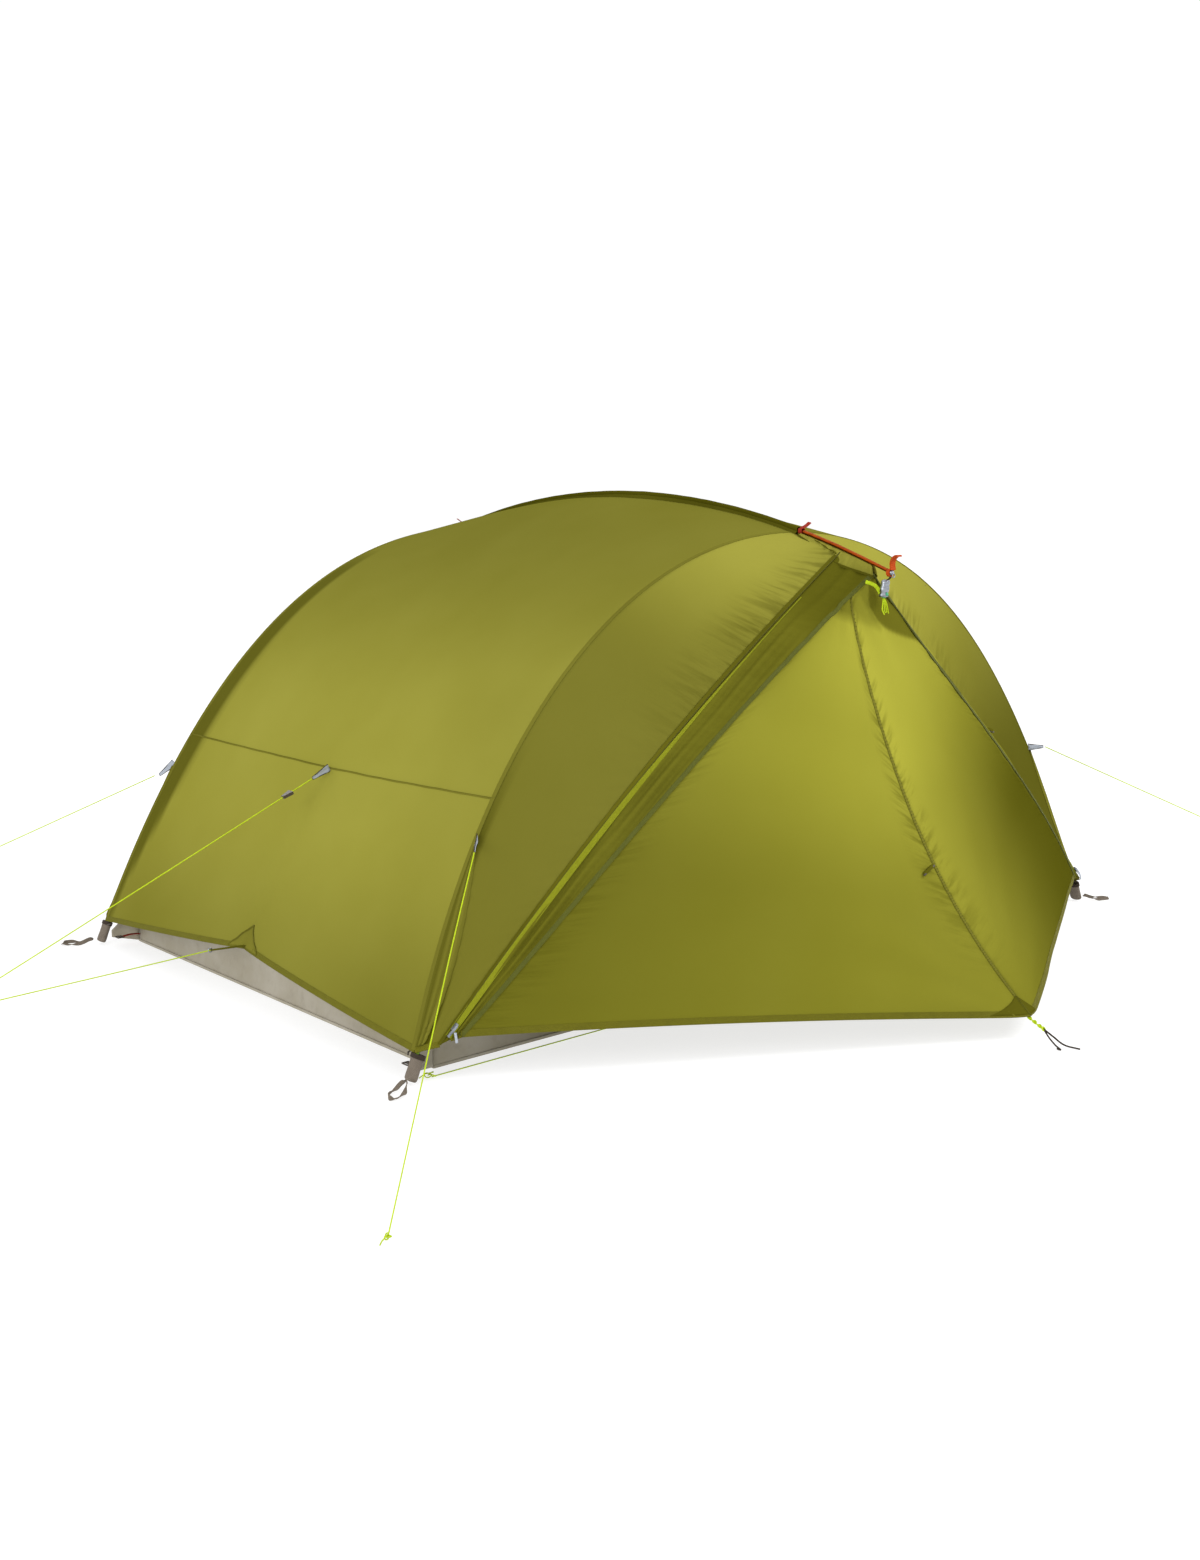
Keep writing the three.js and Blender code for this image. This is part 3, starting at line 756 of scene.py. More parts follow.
def roof_offset(end):
    tab = roof_point(end * SEAM_T, 0)
    hem = roof_point(end * arch_parameter(hem_height(0)), 0)
    corners = [arch_seam(end * HEM_T, side) for side in (FRONT, BACK)]

    def offset(s, w, point):
        held = pinned(w)
        soft = 0.004 * noise.noise(point * 2.6) + 0.0010 * noise.noise(point * 9)
        low = 1 - smooth(0.45, 0.62, point.z)
        pull = crease(point, tab, hem, 0.014, -0.004)
        pull += sum(crease(point, hem, corner, 0.02, -0.003) for corner in corners)
        pull += sum(crease(point, tab, corner, 0.03, -0.0035) for corner in corners)
        pull += fan(point, hem, 0.07, 9, 0.0016, axis=1)
        seam = 0.0010 * math.exp(-(((point.z - tab.z) / 0.007) ** 2))
        across_seam = 0.0012 * math.exp(-(((point.z - tab.z) / 0.05) ** 2)) * math.sin(point.y * 52)
        return held * (soft + low * pull + across_seam) + seam * pinned(w, 0.2)
    return offset


def roof_shade(s, w, point):
    """Painted shade: the roof darker towards the ridge, the end panels towards their hems, the lower roof by
    one edge, and a painted pole shadow along one arch.
    """
    across = w if point.x < 0 else 1 - w
    up = 0.10 + 0.40 * smooth(0.60, 1.08, point.z)
    down = 0.32 * (1 - smooth(0.06, 0.42, point.z))
    near = 0.09 * smooth(0.35, 0.05, across) * (1 - smooth(0.5, 0.6, s))
    # Painted shadow of the pole along the left end's back arch.
    edge_from = lerp(0.970, 0.935, smooth(0.0, 0.35, s))
    edge = 0.74 * smooth(edge_from, edge_from + 0.022, across) * (1 - smooth(0.74, 0.95, s))
    return max(up + down + near, edge if point.x < 0 else 0.0)


# Strength of the painted shade on the side panels that turn from the light, front and back.
SIDE_TURNED_SHADE = {FRONT: 0.80, BACK: 0.60}


def side_shade(s, w, point):
    """Painted shade: side panels darker downwards, by the arch where the pole folds them and beside the zip's
    upper part; the panels turned from the light are darker still towards the bottom.
    """
    if point.x * point.y < 0:
        return SIDE_TURNED_SHADE[FRONT if point.y < 0 else BACK] * (1 - smooth(0.36, 0.90, s))
    fold_w = 0.05 + 1.45 * max(0.0, 0.30 - s)
    # Painted shade in the fold by the pole, low down.
    fold = 0.36 * smooth(fold_w + 0.05, fold_w - 0.02, w) * smooth(0.52, 0.26, s)
    ruck_shade = 0.14 * smooth(0.4, 1.0, w) * smooth(0.68, 0.76, s)
    return clamp(0.57 - 0.48 * smooth(0.62, 0.92, s) + fold + ruck_shade)


def side_gather(s, w):
    """Rucks beside the zip, strongest towards its top: bumped, with painted shade in their hollows."""
    return smooth(0.45, 1.0, w) * smooth(0.45, 0.85, s)


def side_offset(side, end):
    top = Vector((end * 0.05, side * 0.72, 1.0))
    foot = Vector((end * 1.10, side * 0.70, 0.08))

    def offset(s, w, point):
        held = pinned(w)
        soft = 0.003 * noise.noise(point * 3.1 + Vector((3, 0, 0))) + 0.0008 * noise.noise(point * 12)
        pull = fan(point, top, 0.13, 13, 0.0022) + fan(point, foot, 0.10, 15, 0.0016)
        gathered = smooth(0.62, 1.0, w) * (0.25 + 0.75 * smooth(0.60, 0.85, s))
        wander = 3 * noise.noise(Vector((s * 9, 3 * w, 2)))
        near_zip = 0.0030 * gathered * math.sin(230 * s + 60 * (1 - w) * 0.2 + wander)
        return held * (soft + pull) + near_zip * pinned(s, 0.3) * pinned(w, 0.15)
    return offset


CANOPY_GRIDS = {}


def make_canopy():
    for end in (LEFT, RIGHT):
        CANOPY_GRIDS["roof", end] = fabric_grid(
            roof_surface(end), ROOF_ROWS, ROOF_COLUMNS, roof_offset(end), roof_shade)
        for side in (FRONT, BACK):
            CANOPY_GRIDS["side", side, end] = fabric_grid(
                side_surface(side, end), ROOF_ROWS, SIDE_COLUMNS, side_offset(side, end), side_shade,
                side_gather)
    canopy = add_object("fly_canopy", grid_mesh("fly_canopy", list(CANOPY_GRIDS.values())), FLY)
    thicken(canopy, CLOTH)
    nodes = ["fly_roof", "left_end_panel", "right_end_panel"]
    nodes += [f"{SIDE[s]}_{END[e]}_side_panel" for s, e in CORNERS]
    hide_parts(*nodes)
    return canopy


CANOPY = make_canopy()


# ---------- vestibule doors ----------
DOOR_ROWS = 90
BAND_COLUMNS = 16
FIELD_COLUMNS = 44
SEAM_SHIFT = 0.062
# The door on each side that turns from the light, and how strong the doors' painted shade is on each side.
TURNED_END = {FRONT: RIGHT, BACK: LEFT}
SHADE_DEPTH = {FRONT: 1.0, BACK: 0.65}
BAND_W = BAND_COLUMNS / (BAND_COLUMNS + FIELD_COLUMNS)


def centre_seam_x(s, side):
    """The seam between the two doors leans to one side towards the top, where it meets the piping."""
    return side * min(SEAM_SHIFT * smooth(0.0, 0.9, s), bezier(PIPING_CURVE, s)[0])


def hinge_door(obj, side, end):
    """Bakes a door piece's transform into its mesh; it works out where the piece would hold at the centre
    seam but does not use it.
    """
    still = centre_seam_x(1, side) if end == side else 0.0
    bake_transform(obj)
    return obj


def loose(obj):
    """Undoes the ride that add_object gave, leaving the piece where it stands."""
    world = obj.matrix_world.copy()
    obj.parent = None
    obj.matrix_world = world
    return obj


def door_surface(side, end):
    """Door from its zip edge (w = 0) to the centre seam (w = 1)."""
    def surface(s, w):
        if w <= BAND_W:
            point = door_point(s, w / BAND_W * BAND_SHARE, side, end)
            point.x = end * max(end * point.x, 0.0)
            return point
        across = (w - BAND_W) / (1 - BAND_W)
        seam_x = centre_seam_x(s, side)
        whole = door_point(s, BAND_SHARE, side, end)
        reach = abs(whole.x) + (end * -seam_x)
        x = whole.x - end * reach * across
        other = RIGHT if x > 0 else LEFT
        field = door_point(s, BAND_SHARE, side, other)
        k = clamp(1 - abs(x) / max(abs(field.x), 1e-6))
        point = door_point(s, lerp(BAND_SHARE, 1, k), side, other)
        point.x = x
        return point
    return surface


def door_offset(side, end):
    stake = Vector((0, side * 1.3, 0.05))
    crown = Vector((side * SEAM_SHIFT, side * 0.86, 0.95))
    foot = Vector((end * 1.03, side * 0.76, 0.08))

    def offset(s, w, point):
        if w < BAND_W:
            k = w / BAND_W
            wander = 2.2 * noise.noise(Vector((s * 4, k, side * 3 + end)))
            folds = 0.0042 * math.sin(2 * math.pi * 2.3 * k + wander) + 0.0016 * math.sin(15 * k + 26 * s)
            return smooth(0.0, 0.3, k) * pinned(k) * folds * (0.35 + pinned(s, 0.7))
        k = (w - BAND_W) / (1 - BAND_W)
        soft = 0.005 * noise.noise(point * 2.1 + Vector((0, side, end))) + 0.0010 * noise.noise(point * 8)
        pull = fan(point, stake, 0.16, 15, 0.0030) + fan(point, crown, 0.11, 11, 0.0034)
        pull += fan(point, foot, 0.10, 13, 0.0018)
        wander = 5 * noise.noise(Vector((s * 7, 0, end)))
        below_piping = 0.0032 * math.exp(-k / 0.05) * math.sin(95 * s + wander)
        pucker = 0.0018 * math.exp(-(1 - k) / 0.05) * math.sin(120 * s) * smooth(0.35, 0.95, s)
        return pinned(k, 0.35) * (soft + pull) + (below_piping + pucker) * pinned(k, 0.2)
    return offset


def turned_door_shade(s, w, k):
    """Painted shade of the door that turns from the light: dark towards its zip, pale along the centre seam,
    and a painted shadow under the awning.
    """
    if w <= BAND_W:
        return 0.80 - 0.62 * smooth(0.25, 0.68, s) + 0.56 * smooth(0.76, 0.80, s)
    at_zip = 0.88 - 0.68 * smooth(0.33, 0.84, s)
    at_seam = 0.03 + clamp(0.54 - 0.66 * s) * (1 - smooth(0.55, 0.70, s))
    reach = (s - 0.80) / 0.22
    # Painted shadow under the awning.
    under_awning = 0.74 * smooth(reach + 0.05, reach - 0.05, k)
    across = lerp(at_zip, at_seam, clamp(k / 0.95) ** 2.1)
    return clamp(max(across, under_awning, 0.40 * smooth(0.89, 0.92, s)))


def lit_door_shade(s, w, k):
    """Painted shade of the door that faces the light: darker downwards, beside its piping and under the
    awning, and darkest in the band by its zip.
    """
    if w <= BAND_W:
        return 0.72 + 0.10 * smooth(0.82, 0.90, s)
    base = 0.48 - 0.25 * smooth(0.30, 0.62, s) - 0.12 * smooth(0.68, 0.86, s)
    beside = 0.24 * max(0.0, 1 - k / 0.7) * (1 - 0.4 * smooth(0.50, 0.65, s))
    at_piping = 0.22 * math.exp(-k / 0.08) * smooth(0.64, 0.78, s)
    return clamp(max(base + beside + at_piping, 0.62 * smooth(0.88, 0.915, s)))


# Each door's painted shade, weaker on the back side.
def door_shade(side, end):
    kind = turned_door_shade if end == TURNED_END[side] else lit_door_shade
    return lambda s, w, point: SHADE_DEPTH[side] * kind(s, w, (w - BAND_W) / (1 - BAND_W))


def door_gather(s, w):
    """Rucks beside the piping and the centre seam: bumped, with painted shade in their hollows."""
    if w < BAND_W:
        return 0.15
    k = (w - BAND_W) / (1 - BAND_W)
    return 0.45 * smooth(0.10, 0.0, k) + smooth(0.88, 0.99, k) * smooth(0.02, 0.5, s)


def make_doors():
    made = {}
    for side, end in CORNERS:
        name = corner_name(side, end)
        grid = fabric_grid(door_surface(side, end), DOOR_ROWS, BAND_COLUMNS + FIELD_COLUMNS,
                           door_offset(side, end), door_shade(side, end), door_gather)
        mesh = grid_mesh(name + "_door_sheet", [grid])
        door = loose(add_object(name + "_door_sheet", mesh, DOOR))
        thicken(door, CLOTH)
        hinge_door(door, side, end)
        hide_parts(name + "_door")
        made[side, end] = grid
    return made


DOOR_GRIDS = make_doors()


# ---------- pieces that lie on the fabric ----------
def grid_at(grid, s, w, lift=0.0):
    """Point on a displaced grid, moved outward by lift."""
    rows, columns = len(grid) - 1, len(grid[0]) - 1
    x, y = clamp(s) * rows, clamp(w) * columns
    i, j = min(int(x), rows - 1), min(int(y), columns - 1)
    a = grid[i][j][0].lerp(grid[i][j + 1][0], y - j)
    b = grid[i + 1][j][0].lerp(grid[i + 1][j + 1][0], y - j)
    point = a.lerp(b, x - i)
    if lift:
        along = grid[i + 1][j][0] - grid[i][j][0]
        across = grid[i + 1][j + 1][0] - grid[i + 1][j][0]
        point = point + facing_out(along.cross(across), point) * lift
    return point


def strip(name, grid, line, width, thickness, material, lift, hinge=None, steps=80):
    """Tape that follows line(k) = (s, w) over a grid; hinge = (side, end) passes it through loose and
    hinge_door, as for the door pieces.
    """
    path = [grid_at(grid, *line(k / steps), lift) for k in range(steps + 1)]
    tips = []
    for k in range(steps + 1):
        s, w = line(k / steps)
        run = line(min(k + 1, steps) / steps)[0] - line(max(k - 1, 0) / steps)[0]
        ds, dw = (0.0, 0.01) if abs(run) > 1e-6 else (0.01, 0.0)
        tips.append(grid_at(grid, s + ds, w + dw) - grid_at(grid, s - ds, w - dw))
    obj = ribbon(name, path, lambda i: tips[i], width, thickness, material)
    if hinge:
        hinge_door(loose(obj), *hinge)
    return obj


STITCH_PITCH = 0.007
STITCH_LENGTH = 0.0036
STITCH_LIFT = 0.0012
STITCH_HALF = 0.0004


def stitches(name, path, across, gap, material):
    """Two rows of short raised stitches along a seam."""
    vertices, faces = [], []
    count = int(path_length(path) / STITCH_PITCH)
    for row in (-1, 1):
        for k in range(count):
            position = (k + 0.5) / count * (len(path) - 1)
            i = min(int(position), len(path) - 2)
            ahead = (path[i + 1] - path[i]).normalized()
            sideways = across(i)
            sideways = (sideways - ahead * sideways.dot(ahead)).normalized()
            centre = path[i].lerp(path[i + 1], position - i)
            normal = facing_out(ahead.cross(sideways), centre)
            centre = centre + sideways * (row * gap / 2) + normal * STITCH_LIFT
            low = centre - normal * STITCH_HALF
            start = len(vertices)
            for a, b in ((-1, -1), (1, -1), (1, 1), (-1, 1)):
                vertices.append(low + ahead * (a * STITCH_LENGTH / 2) + sideways * (b * 0.0005))
            vertices.append(centre + normal * STITCH_HALF)
            faces += [(start + a, start + (a + 1) % 4, start + 4) for a in range(4)]
            faces.append((start + 3, start + 2, start + 1, start))
    return add_object(name, mesh_from(name, vertices, faces), material)


def patch(name, grid, corners, material, hinge=None, lift=0.0014, steps=8):
    """Triangular reinforcement lying on a grid between three (s, w) corners."""
    vertices, faces, index = [], [], {}
    (s0, w0), (s1, w1), (s2, w2) = corners
    for i in range(steps + 1):
        for j in range(steps + 1 - i):
            a, b = i / steps, j / steps
            c = 1 - a - b
            index[i, j] = len(vertices)
            vertices.append(grid_at(grid, s0 * c + s1 * a + s2 * b, w0 * c + w1 * a + w2 * b, lift))
    for i in range(steps):
        for j in range(steps - i):
            faces.append((index[i, j], index[i + 1, j], index[i, j + 1]))
            if i + j < steps - 1:
                faces.append((index[i + 1, j], index[i + 1, j + 1], index[i, j + 1]))
    mesh = mesh_from(name, vertices, faces)
    layer = mesh.uv_layers.new(name="UVMap")
    for loop, corner in zip(layer.data, mesh.loops):
        v = mesh.vertices[corner.vertex_index].co
        loop.uv = (v.x, v.z)
    obj = add_object(name, mesh, material)
    thicken(obj, DOUBLED)
    if hinge:
        hinge_door(loose(obj), *hinge)
    return obj


HEM_PATCH = [(0.0, 0.455), (0.0, 0.545), (0.05, 0.5)]


def make_end_trim(end):
    """Hem, cross seam and cord patch of one end panel."""
    name = END[end]
    grid = CANOPY_GRIDS["roof", end]
    strip(name + "_end_hem", grid, lambda k: (0.002, k), 0.013, 0.0022, BINDING, 0.0)

    def seam(k):
        v = 2 * k - 1
        return 1 - SEAM_T / arch_parameter(hem_height(v)) if abs(v) < 0.9999 else 1 - SEAM_T / HEM_T, k
    strip(name + "_end_seam", grid, seam, 0.0045, 0.0012, SEAM, 0.0004)
    path = [grid_at(grid, *seam(k / 80)) for k in range(81)]
    stitches(name + "_end_seam_thread", path, lambda i: UP, 0.004, BINDING)
    patch(name + "_hem_patch", grid, HEM_PATCH, SEAM)
    rise, middle = HEM_PATCH[2]
    for k in (0, 1):
        def edge(u, w=HEM_PATCH[k][1]):
            return rise * u, lerp(w, middle, u)
        strip(f"{name}_hem_patch_edge_{k}", grid, edge, 0.0028, 0.0014, BINDING, 0.002, steps=10)


def make_hem_tab():
    """Tab and ring that tie the hem cord to the middle of the left hem."""
    hem_middle, tied = grid_at(CANOPY_GRIDS["roof", LEFT], 0.004, 0.5), Vector(ROUTES["hem_cord"][0])
    path = [hem_middle.lerp(tied, k / 8) for k in range(9)]
    ribbon("left_hem_tab", path, lambda i: FORWARD, 0.010, 0.0016, DOUBLED_AND_PAINTED_SHADOW)
    ring("left_hem_ring", tied, SIDEWAYS, UP, 0.0045, 0.0013, SILVER)


def make_arch_seam(side):
    stations = [lerp(-HEM_T, HEM_T, k / 160) for k in range(161)]
    path = [arch_seam(t, side) for t in stations]
    inward = [roof_point(t, side * 0.97) - point for t, point in zip(stations, path)]
    shifted = [point + direction.normalized() * 0.004 for point, direction in zip(path, inward)]
    ribbon(SIDE[side] + "_arch_seam", shifted, lambda i: inward[i], 0.011, 0.0018, SEAM, lift=0.0004)


def make_corner_trim(side, end):
    """Tapes, zip and reinforcements of one side panel and its door."""
    name = corner_name(side, end)
    panel, door, hinge = CANOPY_GRIDS["side", side, end], DOOR_GRIDS[side, end], (side, end)
    strip(name + "_side_hem", panel, lambda k: (0.0, k), 0.012, 0.002, BINDING, 0.0, steps=20)
    # Painted shadow: a dark line on the side panel where the awning flap's edge casts its shadow.
    strip(name + "_awning_shadow_line", panel, lambda k: (lerp(0.998, 0.993, k), lerp(0.46, 0.985, k)), 0.0035,
          0.0014, DOUBLED_AND_PAINTED_SHADOW, 0.0036, steps=24)
    strip(name + "_zip_edge", panel, lambda k: (k, 0.985), 0.007, 0.0024, DOUBLED_AND_PAINTED_SHADOW, 0.0012)
    path = [ZIPS[side, end].at(k / 90) for k in range(91)]
    toward = [grid_at(door, k / 90, BAND_W) - point for k, point in enumerate(path)]
    flap = [p + t.normalized() * 0.006 + Vector((0, side * 0.0026, 0)) for p, t in zip(path, toward)]
    ribbon(name + "_zip_flap", flap[1:81], lambda i: toward[i + 1],
           lambda k: 0.013 * (1 - 0.85 * smooth(0.35, 0.95, k)), 0.0012, ZIP_TAPE)
    tube(name + "_zip_coil", [p + Vector((0, side * 0.0015, 0)) for p in path], 0.0019, DARK_ZIP, sides=6)
    strip(name + "_piping", door, lambda k: (k, BAND_W), 0.009, 0.0028, PIPING, 0.0014, hinge, 110)
    strip(name + "_door_hem", door, lambda k: (0.004, lerp(BAND_W * 0.4, 1, k)), 0.014, 0.0024, BINDING, 0.0,
          hinge)
    patch_w = 0.975 if end == TURNED_END[side] else 0.94
    patch(name + "_stake_patch", door, [(0.0, 1.0), (0.0, patch_w), (0.060, 1.0)], DOUBLED_AND_PAINTED_SHADOW, hinge)


def make_centre_seam(side):
    grid = DOOR_GRIDS[side, side]
    strip(SIDE[side] + "_centre_seam", grid, lambda k: (k, 0.999), 0.0065, 0.0016, SEAM, 0.0009)
    path = [grid_at(grid, k / 120, 1, 0.001) for k in range(121)]
    stitches(SIDE[side] + "_centre_thread", path, lambda i: SIDEWAYS, 0.005, PIPING)


def make_fly_trim():
    for end in (LEFT, RIGHT):
        make_end_trim(end)
    make_hem_tab()
    for side in (FRONT, BACK):
        make_arch_seam(side)
    for side, end in CORNERS:
        make_corner_trim(side, end)
    for side in (FRONT, BACK):
        make_centre_seam(side)


FLAP_EDGE = [(0.012, 0.648, 0.010), (0.021, 0.722, 0.021), (0.031, 0.782, 0.030), (0.0075, 0.867, 0.027)]


def make_awning_flaps():
    """Flaps of fly fabric under the ridge pole, over the tops of the zips; FLAP_EDGE is x, y and drop."""
    for side, end in CORNERS:
        rows = []
        for i, (x, y, drop) in enumerate(through_points(FLAP_EDGE, 9)):
            low = Vector((end * x, side * y, ridge_z(y) - drop))
            high = Vector((end * 0.0045, side * min(y, 0.862), ridge_z(y) - 0.005))
            row = []
            for j in range(9):
                w = j / 8
                bow = 0.0016 * math.sin(math.pi * w) * math.sin(1.7 * i)
                point = high.lerp(low, w) + Vector((end * 0.5, side * 0.5, 0.7)) * bow
                # Painted shade, growing towards the flap's lower edge and towards the awning's tip.
                row.append((point, (y, w * 0.04), 0.10 + 0.30 * w * i / 27, 0.3))
            rows.append(row)
        name = f"{SIDE[side]}_{END[end]}_awning_flap"
        thicken(add_object(name, grid_mesh(name, [rows]), FLY), DOUBLED)
        edge = [row[-1][0] for row in rows]
        ribbon(name + "_hem", edge, lambda i: UP, 0.0050, 0.0018, DOUBLED_AND_PAINTED_SHADOW)


def make_folds():
    """Spare cloth folded along the lower pole, between the guy tab and the foot, with painted shade that is
    darkest by the arch and between its ridges.
    """
    for side, end in CORNERS:
        grid = CANOPY_GRIDS["side", side, end]
        top, foot = (1 - arch_parameter(z) / HEM_T for z in (0.440, 0.066))
        rows = []
        for i in range(61):
            k = i / 60
            s = lerp(foot, top, k)
            index = min(int(s * ROOF_ROWS), ROOF_ROWS)
            span = (grid[index][-1][0] - grid[index][0][0]).length
            width = 0.040 * pinned(0.12 + 0.88 * k, 0.8)
            row = []
            for j in range(13):
                w = j / 12
                ridges = 0.5 + 0.5 * math.cos(2 * math.pi * (2.5 * w + 0.3 * k))
                lift = 0.0012 + 0.0035 * pinned(w, 0.5) * ridges
                # Painted shade: darker by the arch and between the fold's ridges.
                shade = 0.80 - 0.22 * w - 0.16 * ridges
                row.append((grid_at(grid, s, width * w / span, lift), (k * 0.4, w * width), shade, 0.0))
            rows.append(row)
        name = f"{SIDE[side]}_{END[end]}_pole_fold"
        thicken(add_object(name, grid_mesh(name, [rows], FINE_WELD), FLY), DOUBLED)


make_fly_trim()
make_awning_flaps()
make_folds()


def make_zip_pulls():
    """Tape pulls on the sliders, which go up and down with them."""
    for side, end in CORNERS:
        name = f"{SIDE[side]}_{END[end]}_zip"
        low, high = (Vector(c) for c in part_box(name + "_slider"))
        top = (low + high) / 2 + Vector((end * -0.002, side * 0.006, -0.004))
        path = through_points([top, top + Vector((end * 0.002, side * 0.005, -0.006)),
                               top + Vector((end * 0.002, side * 0.008, -0.018))], 6)
        ribbon(name + "_pull", path, lambda i: Vector((1, 0, 0.2)), 0.005, 0.0014, REFLECTIVE,
               name + "_slider")


make_zip_pulls()


def toggle(name, grid, s, w, along):
    """Fabric loop with a short bar through it, on a grid, for tying back a rolled door."""
    centre = grid_at(grid, s, w, 0.001)
    outward = (grid_at(grid, s, w, 0.01) - centre).normalized()
    along = along.normalized()
    across = along.cross(outward)
    path = []
    for k in range(17):
        a = 2 * math.pi * k / 16 * 0.96
        path.append(centre + along * (0.016 * math.sin(a)) + outward * (0.005 - 0.0045 * math.cos(a)))
    ribbon(name + "_loop", path, lambda i: across, 0.007, 0.0014, DOUBLED_AND_PAINTED_SHADOW)
    bar = [centre + outward * 0.006 + along * (0.005 * k - 0.02) + across * 0.002 for k in range(9)]
    tube(name + "_bar", bar, lambda k: 0.0026 - 0.0010 * abs(2 * k - 1) ** 6, DARK_PLASTIC)


def make_toggles():
    for side in (FRONT, BACK):
        toggle(SIDE[side] + "_tie_back", DOOR_GRIDS[side, side], 0.40, 0.965, Vector((1, 0, 0.5)))
        panel = CANOPY_GRIDS["side", side, -side]
        toggle(SIDE[side] + "_door_tie", panel, 0.47, 0.97, Vector((-side, 0, -0.3)))


make_toggles()


# ---------- webbing at the corners ----------
POCKET_PROFILE = [(0.0, 0.3), (0.001, 0.8), (0.004, 0.97), (0.012, 1.0), (0.028, 0.95), (0.044, 0.97),
                  (0.0475, 1.06), (0.0535, 1.06), (0.054, 0.96), (0.052, 0.90), (0.030, 0.86), (0.006, 0.86),
                  (0.004, 0.2)]


def foot_pocket(side, end):
    """Sewn webbing cup that holds a pole foot: POCKET_PROFILE is height and share of the full size."""
    name = corner_name(side, end)
    tilt = math.atan2(ARCH_END - ARCH_OUTLINE[1][0], ARCH_OUTLINE[1][1])
    axis = Vector((-end * math.sin(tilt), 0, math.cos(tilt)))
    base = Vector((end * (ARCH_END + 0.001), side * (FOOT_Y + 0.0005), 0.0055))
    thin = Vector((axis.z, 0, -axis.x))
    rings = []
    for height, scale in POCKET_PROFILE:
        row = []
        for k in range(28):
            a = 2 * math.pi * k / 28
            wrinkle = noise.noise(Vector((math.cos(a) * 2, math.sin(a) * 2, height * 60 + end)))
            r = scale * (1 + 0.035 * wrinkle)
            around = thin * (0.0096 * r * math.cos(a)) + Vector((0, 0.0175 * r * math.sin(a), 0))
            row.append((base + axis * height + around, (k * 0.003, height), 0.0))
        rings.append(row + row[:1])
    pocket = add_object(name + "_pole_pocket", grid_mesh(name + "_pole_pocket", [rings], FINE_WELD), WEBBING)
    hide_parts(name + "_foot_pocket")
    path = circle(base + axis * 0.05, thin * 0.0105, FORWARD * 0.0188, 32)
    ribbon(name + "_pocket_binding", path, lambda i: axis, 0.009, 0.0012, DARK_WEBBING)


def peg_loop(name, centre, away):
    """Long loop of tape that leaves its corner edge-on, twists and comes back."""
    length, width, rise, tape, depth = 0.072, 0.024, 0.010, 0.009, 0.0016
    side = Vector((-away.y, away.x, 0)).normalized()
    path, tilt = [], []
    for k in range(49):
        a = 2 * math.pi * k / 48
        x = -math.cos(a) * length / 2
        swing = math.sin(a) * width / 2 * (1 - 0.35 * math.cos(a))
        point = centre + away * x + side * swing
        point.z += rise * math.exp(-(((x + length / 2) / 0.02) ** 2))
        path.append(point)
        tilt.append(1.2 * math.sin(a * 2) + 0.5)
    heights = [abs(math.sin(t)) * tape / 2 + depth / 2 + 0.0003 for t in tilt]
    for point, height in zip(path, heights):
        point.z = max(point.z, height)

    def across(i):
        ahead = (path[min(i + 1, 48)] - path[max(i - 1, 0)]).normalized()
        return ahead.cross(UP).normalized() * math.cos(tilt[i]) + UP * math.sin(tilt[i])
    loop = ribbon(name + "_peg_webbing", path, across, tape, depth, WEBBING)
    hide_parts(name + "_stake_loop")


def ladder_lock(name, centre, along):
    """Flat buckle frame with two cross bars."""
    size = 0.018
    side = Vector((-along.y, along.x, 0))
    outline = [(-1, -1), (1, -1), (1, 1), (-1, 1), (-1, -1)]
    frame_path = [centre + along * (a * size * 0.42) + side * (b * size * 0.5) for a, b in outline]
    dense = []
    for a, b in zip(frame_path, frame_path[1:]):
        dense += [a.lerp(b, k / 6) for k in range(6)]
    tube(name + "_frame", dense + [dense[0]], 0.0016, DARK_PLASTIC, 6)
    for k, x in enumerate((-0.12, 0.14)):
        middle = centre + along * (x * size) + UP * 0.0008
        bar = [middle + side * (size * 0.5 * y) for y in (-1, 0, 1)]
        tube(f"{name}_bar_{k}", bar, 0.0013, DARK_PLASTIC, 6)


def make_corner(side, end):
    name = corner_name(side, end)
    foot_pocket(side, end)
    foot = Vector((end * (ARCH_END + 0.001), side * (FOOT_Y + 0.0005), 0.004))
    away = Vector((end * 78, side * 52, 0)).normalized()
    peg_loop(name, foot + away * 0.058, away)
    start = Vector((end * 1.061, side * 0.641, 0.0225))
    steps = [k * 0.0035 for k in range(15)]
    path = [start + Vector((end * x, 0, 0.002 * math.sin(x * 70))) for x in steps]
    colour = RED_WEBBING if side == BACK else WEBBING
    strap = ribbon(name + "_tub_strap", path, lambda i: FORWARD, 0.011, 0.0014, colour)
    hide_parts(name + "_corner_strap")
    ladder_lock(name + "_tub_lock", start + Vector((end * 0.054, 0, 0.0)), Vector((end, 0, 0)))
    hook = through_points([foot + Vector((-end * 0.01, -side * 0.02, 0.048)),
                           foot + Vector((-end * 0.018, -side * 0.026, 0.052)),
                           Vector((end * 1.112, side * 0.686, 0.066))], 6)
    tube(name + "_corner_hook", hook, 0.0018, DARK_PLASTIC, sides=6)


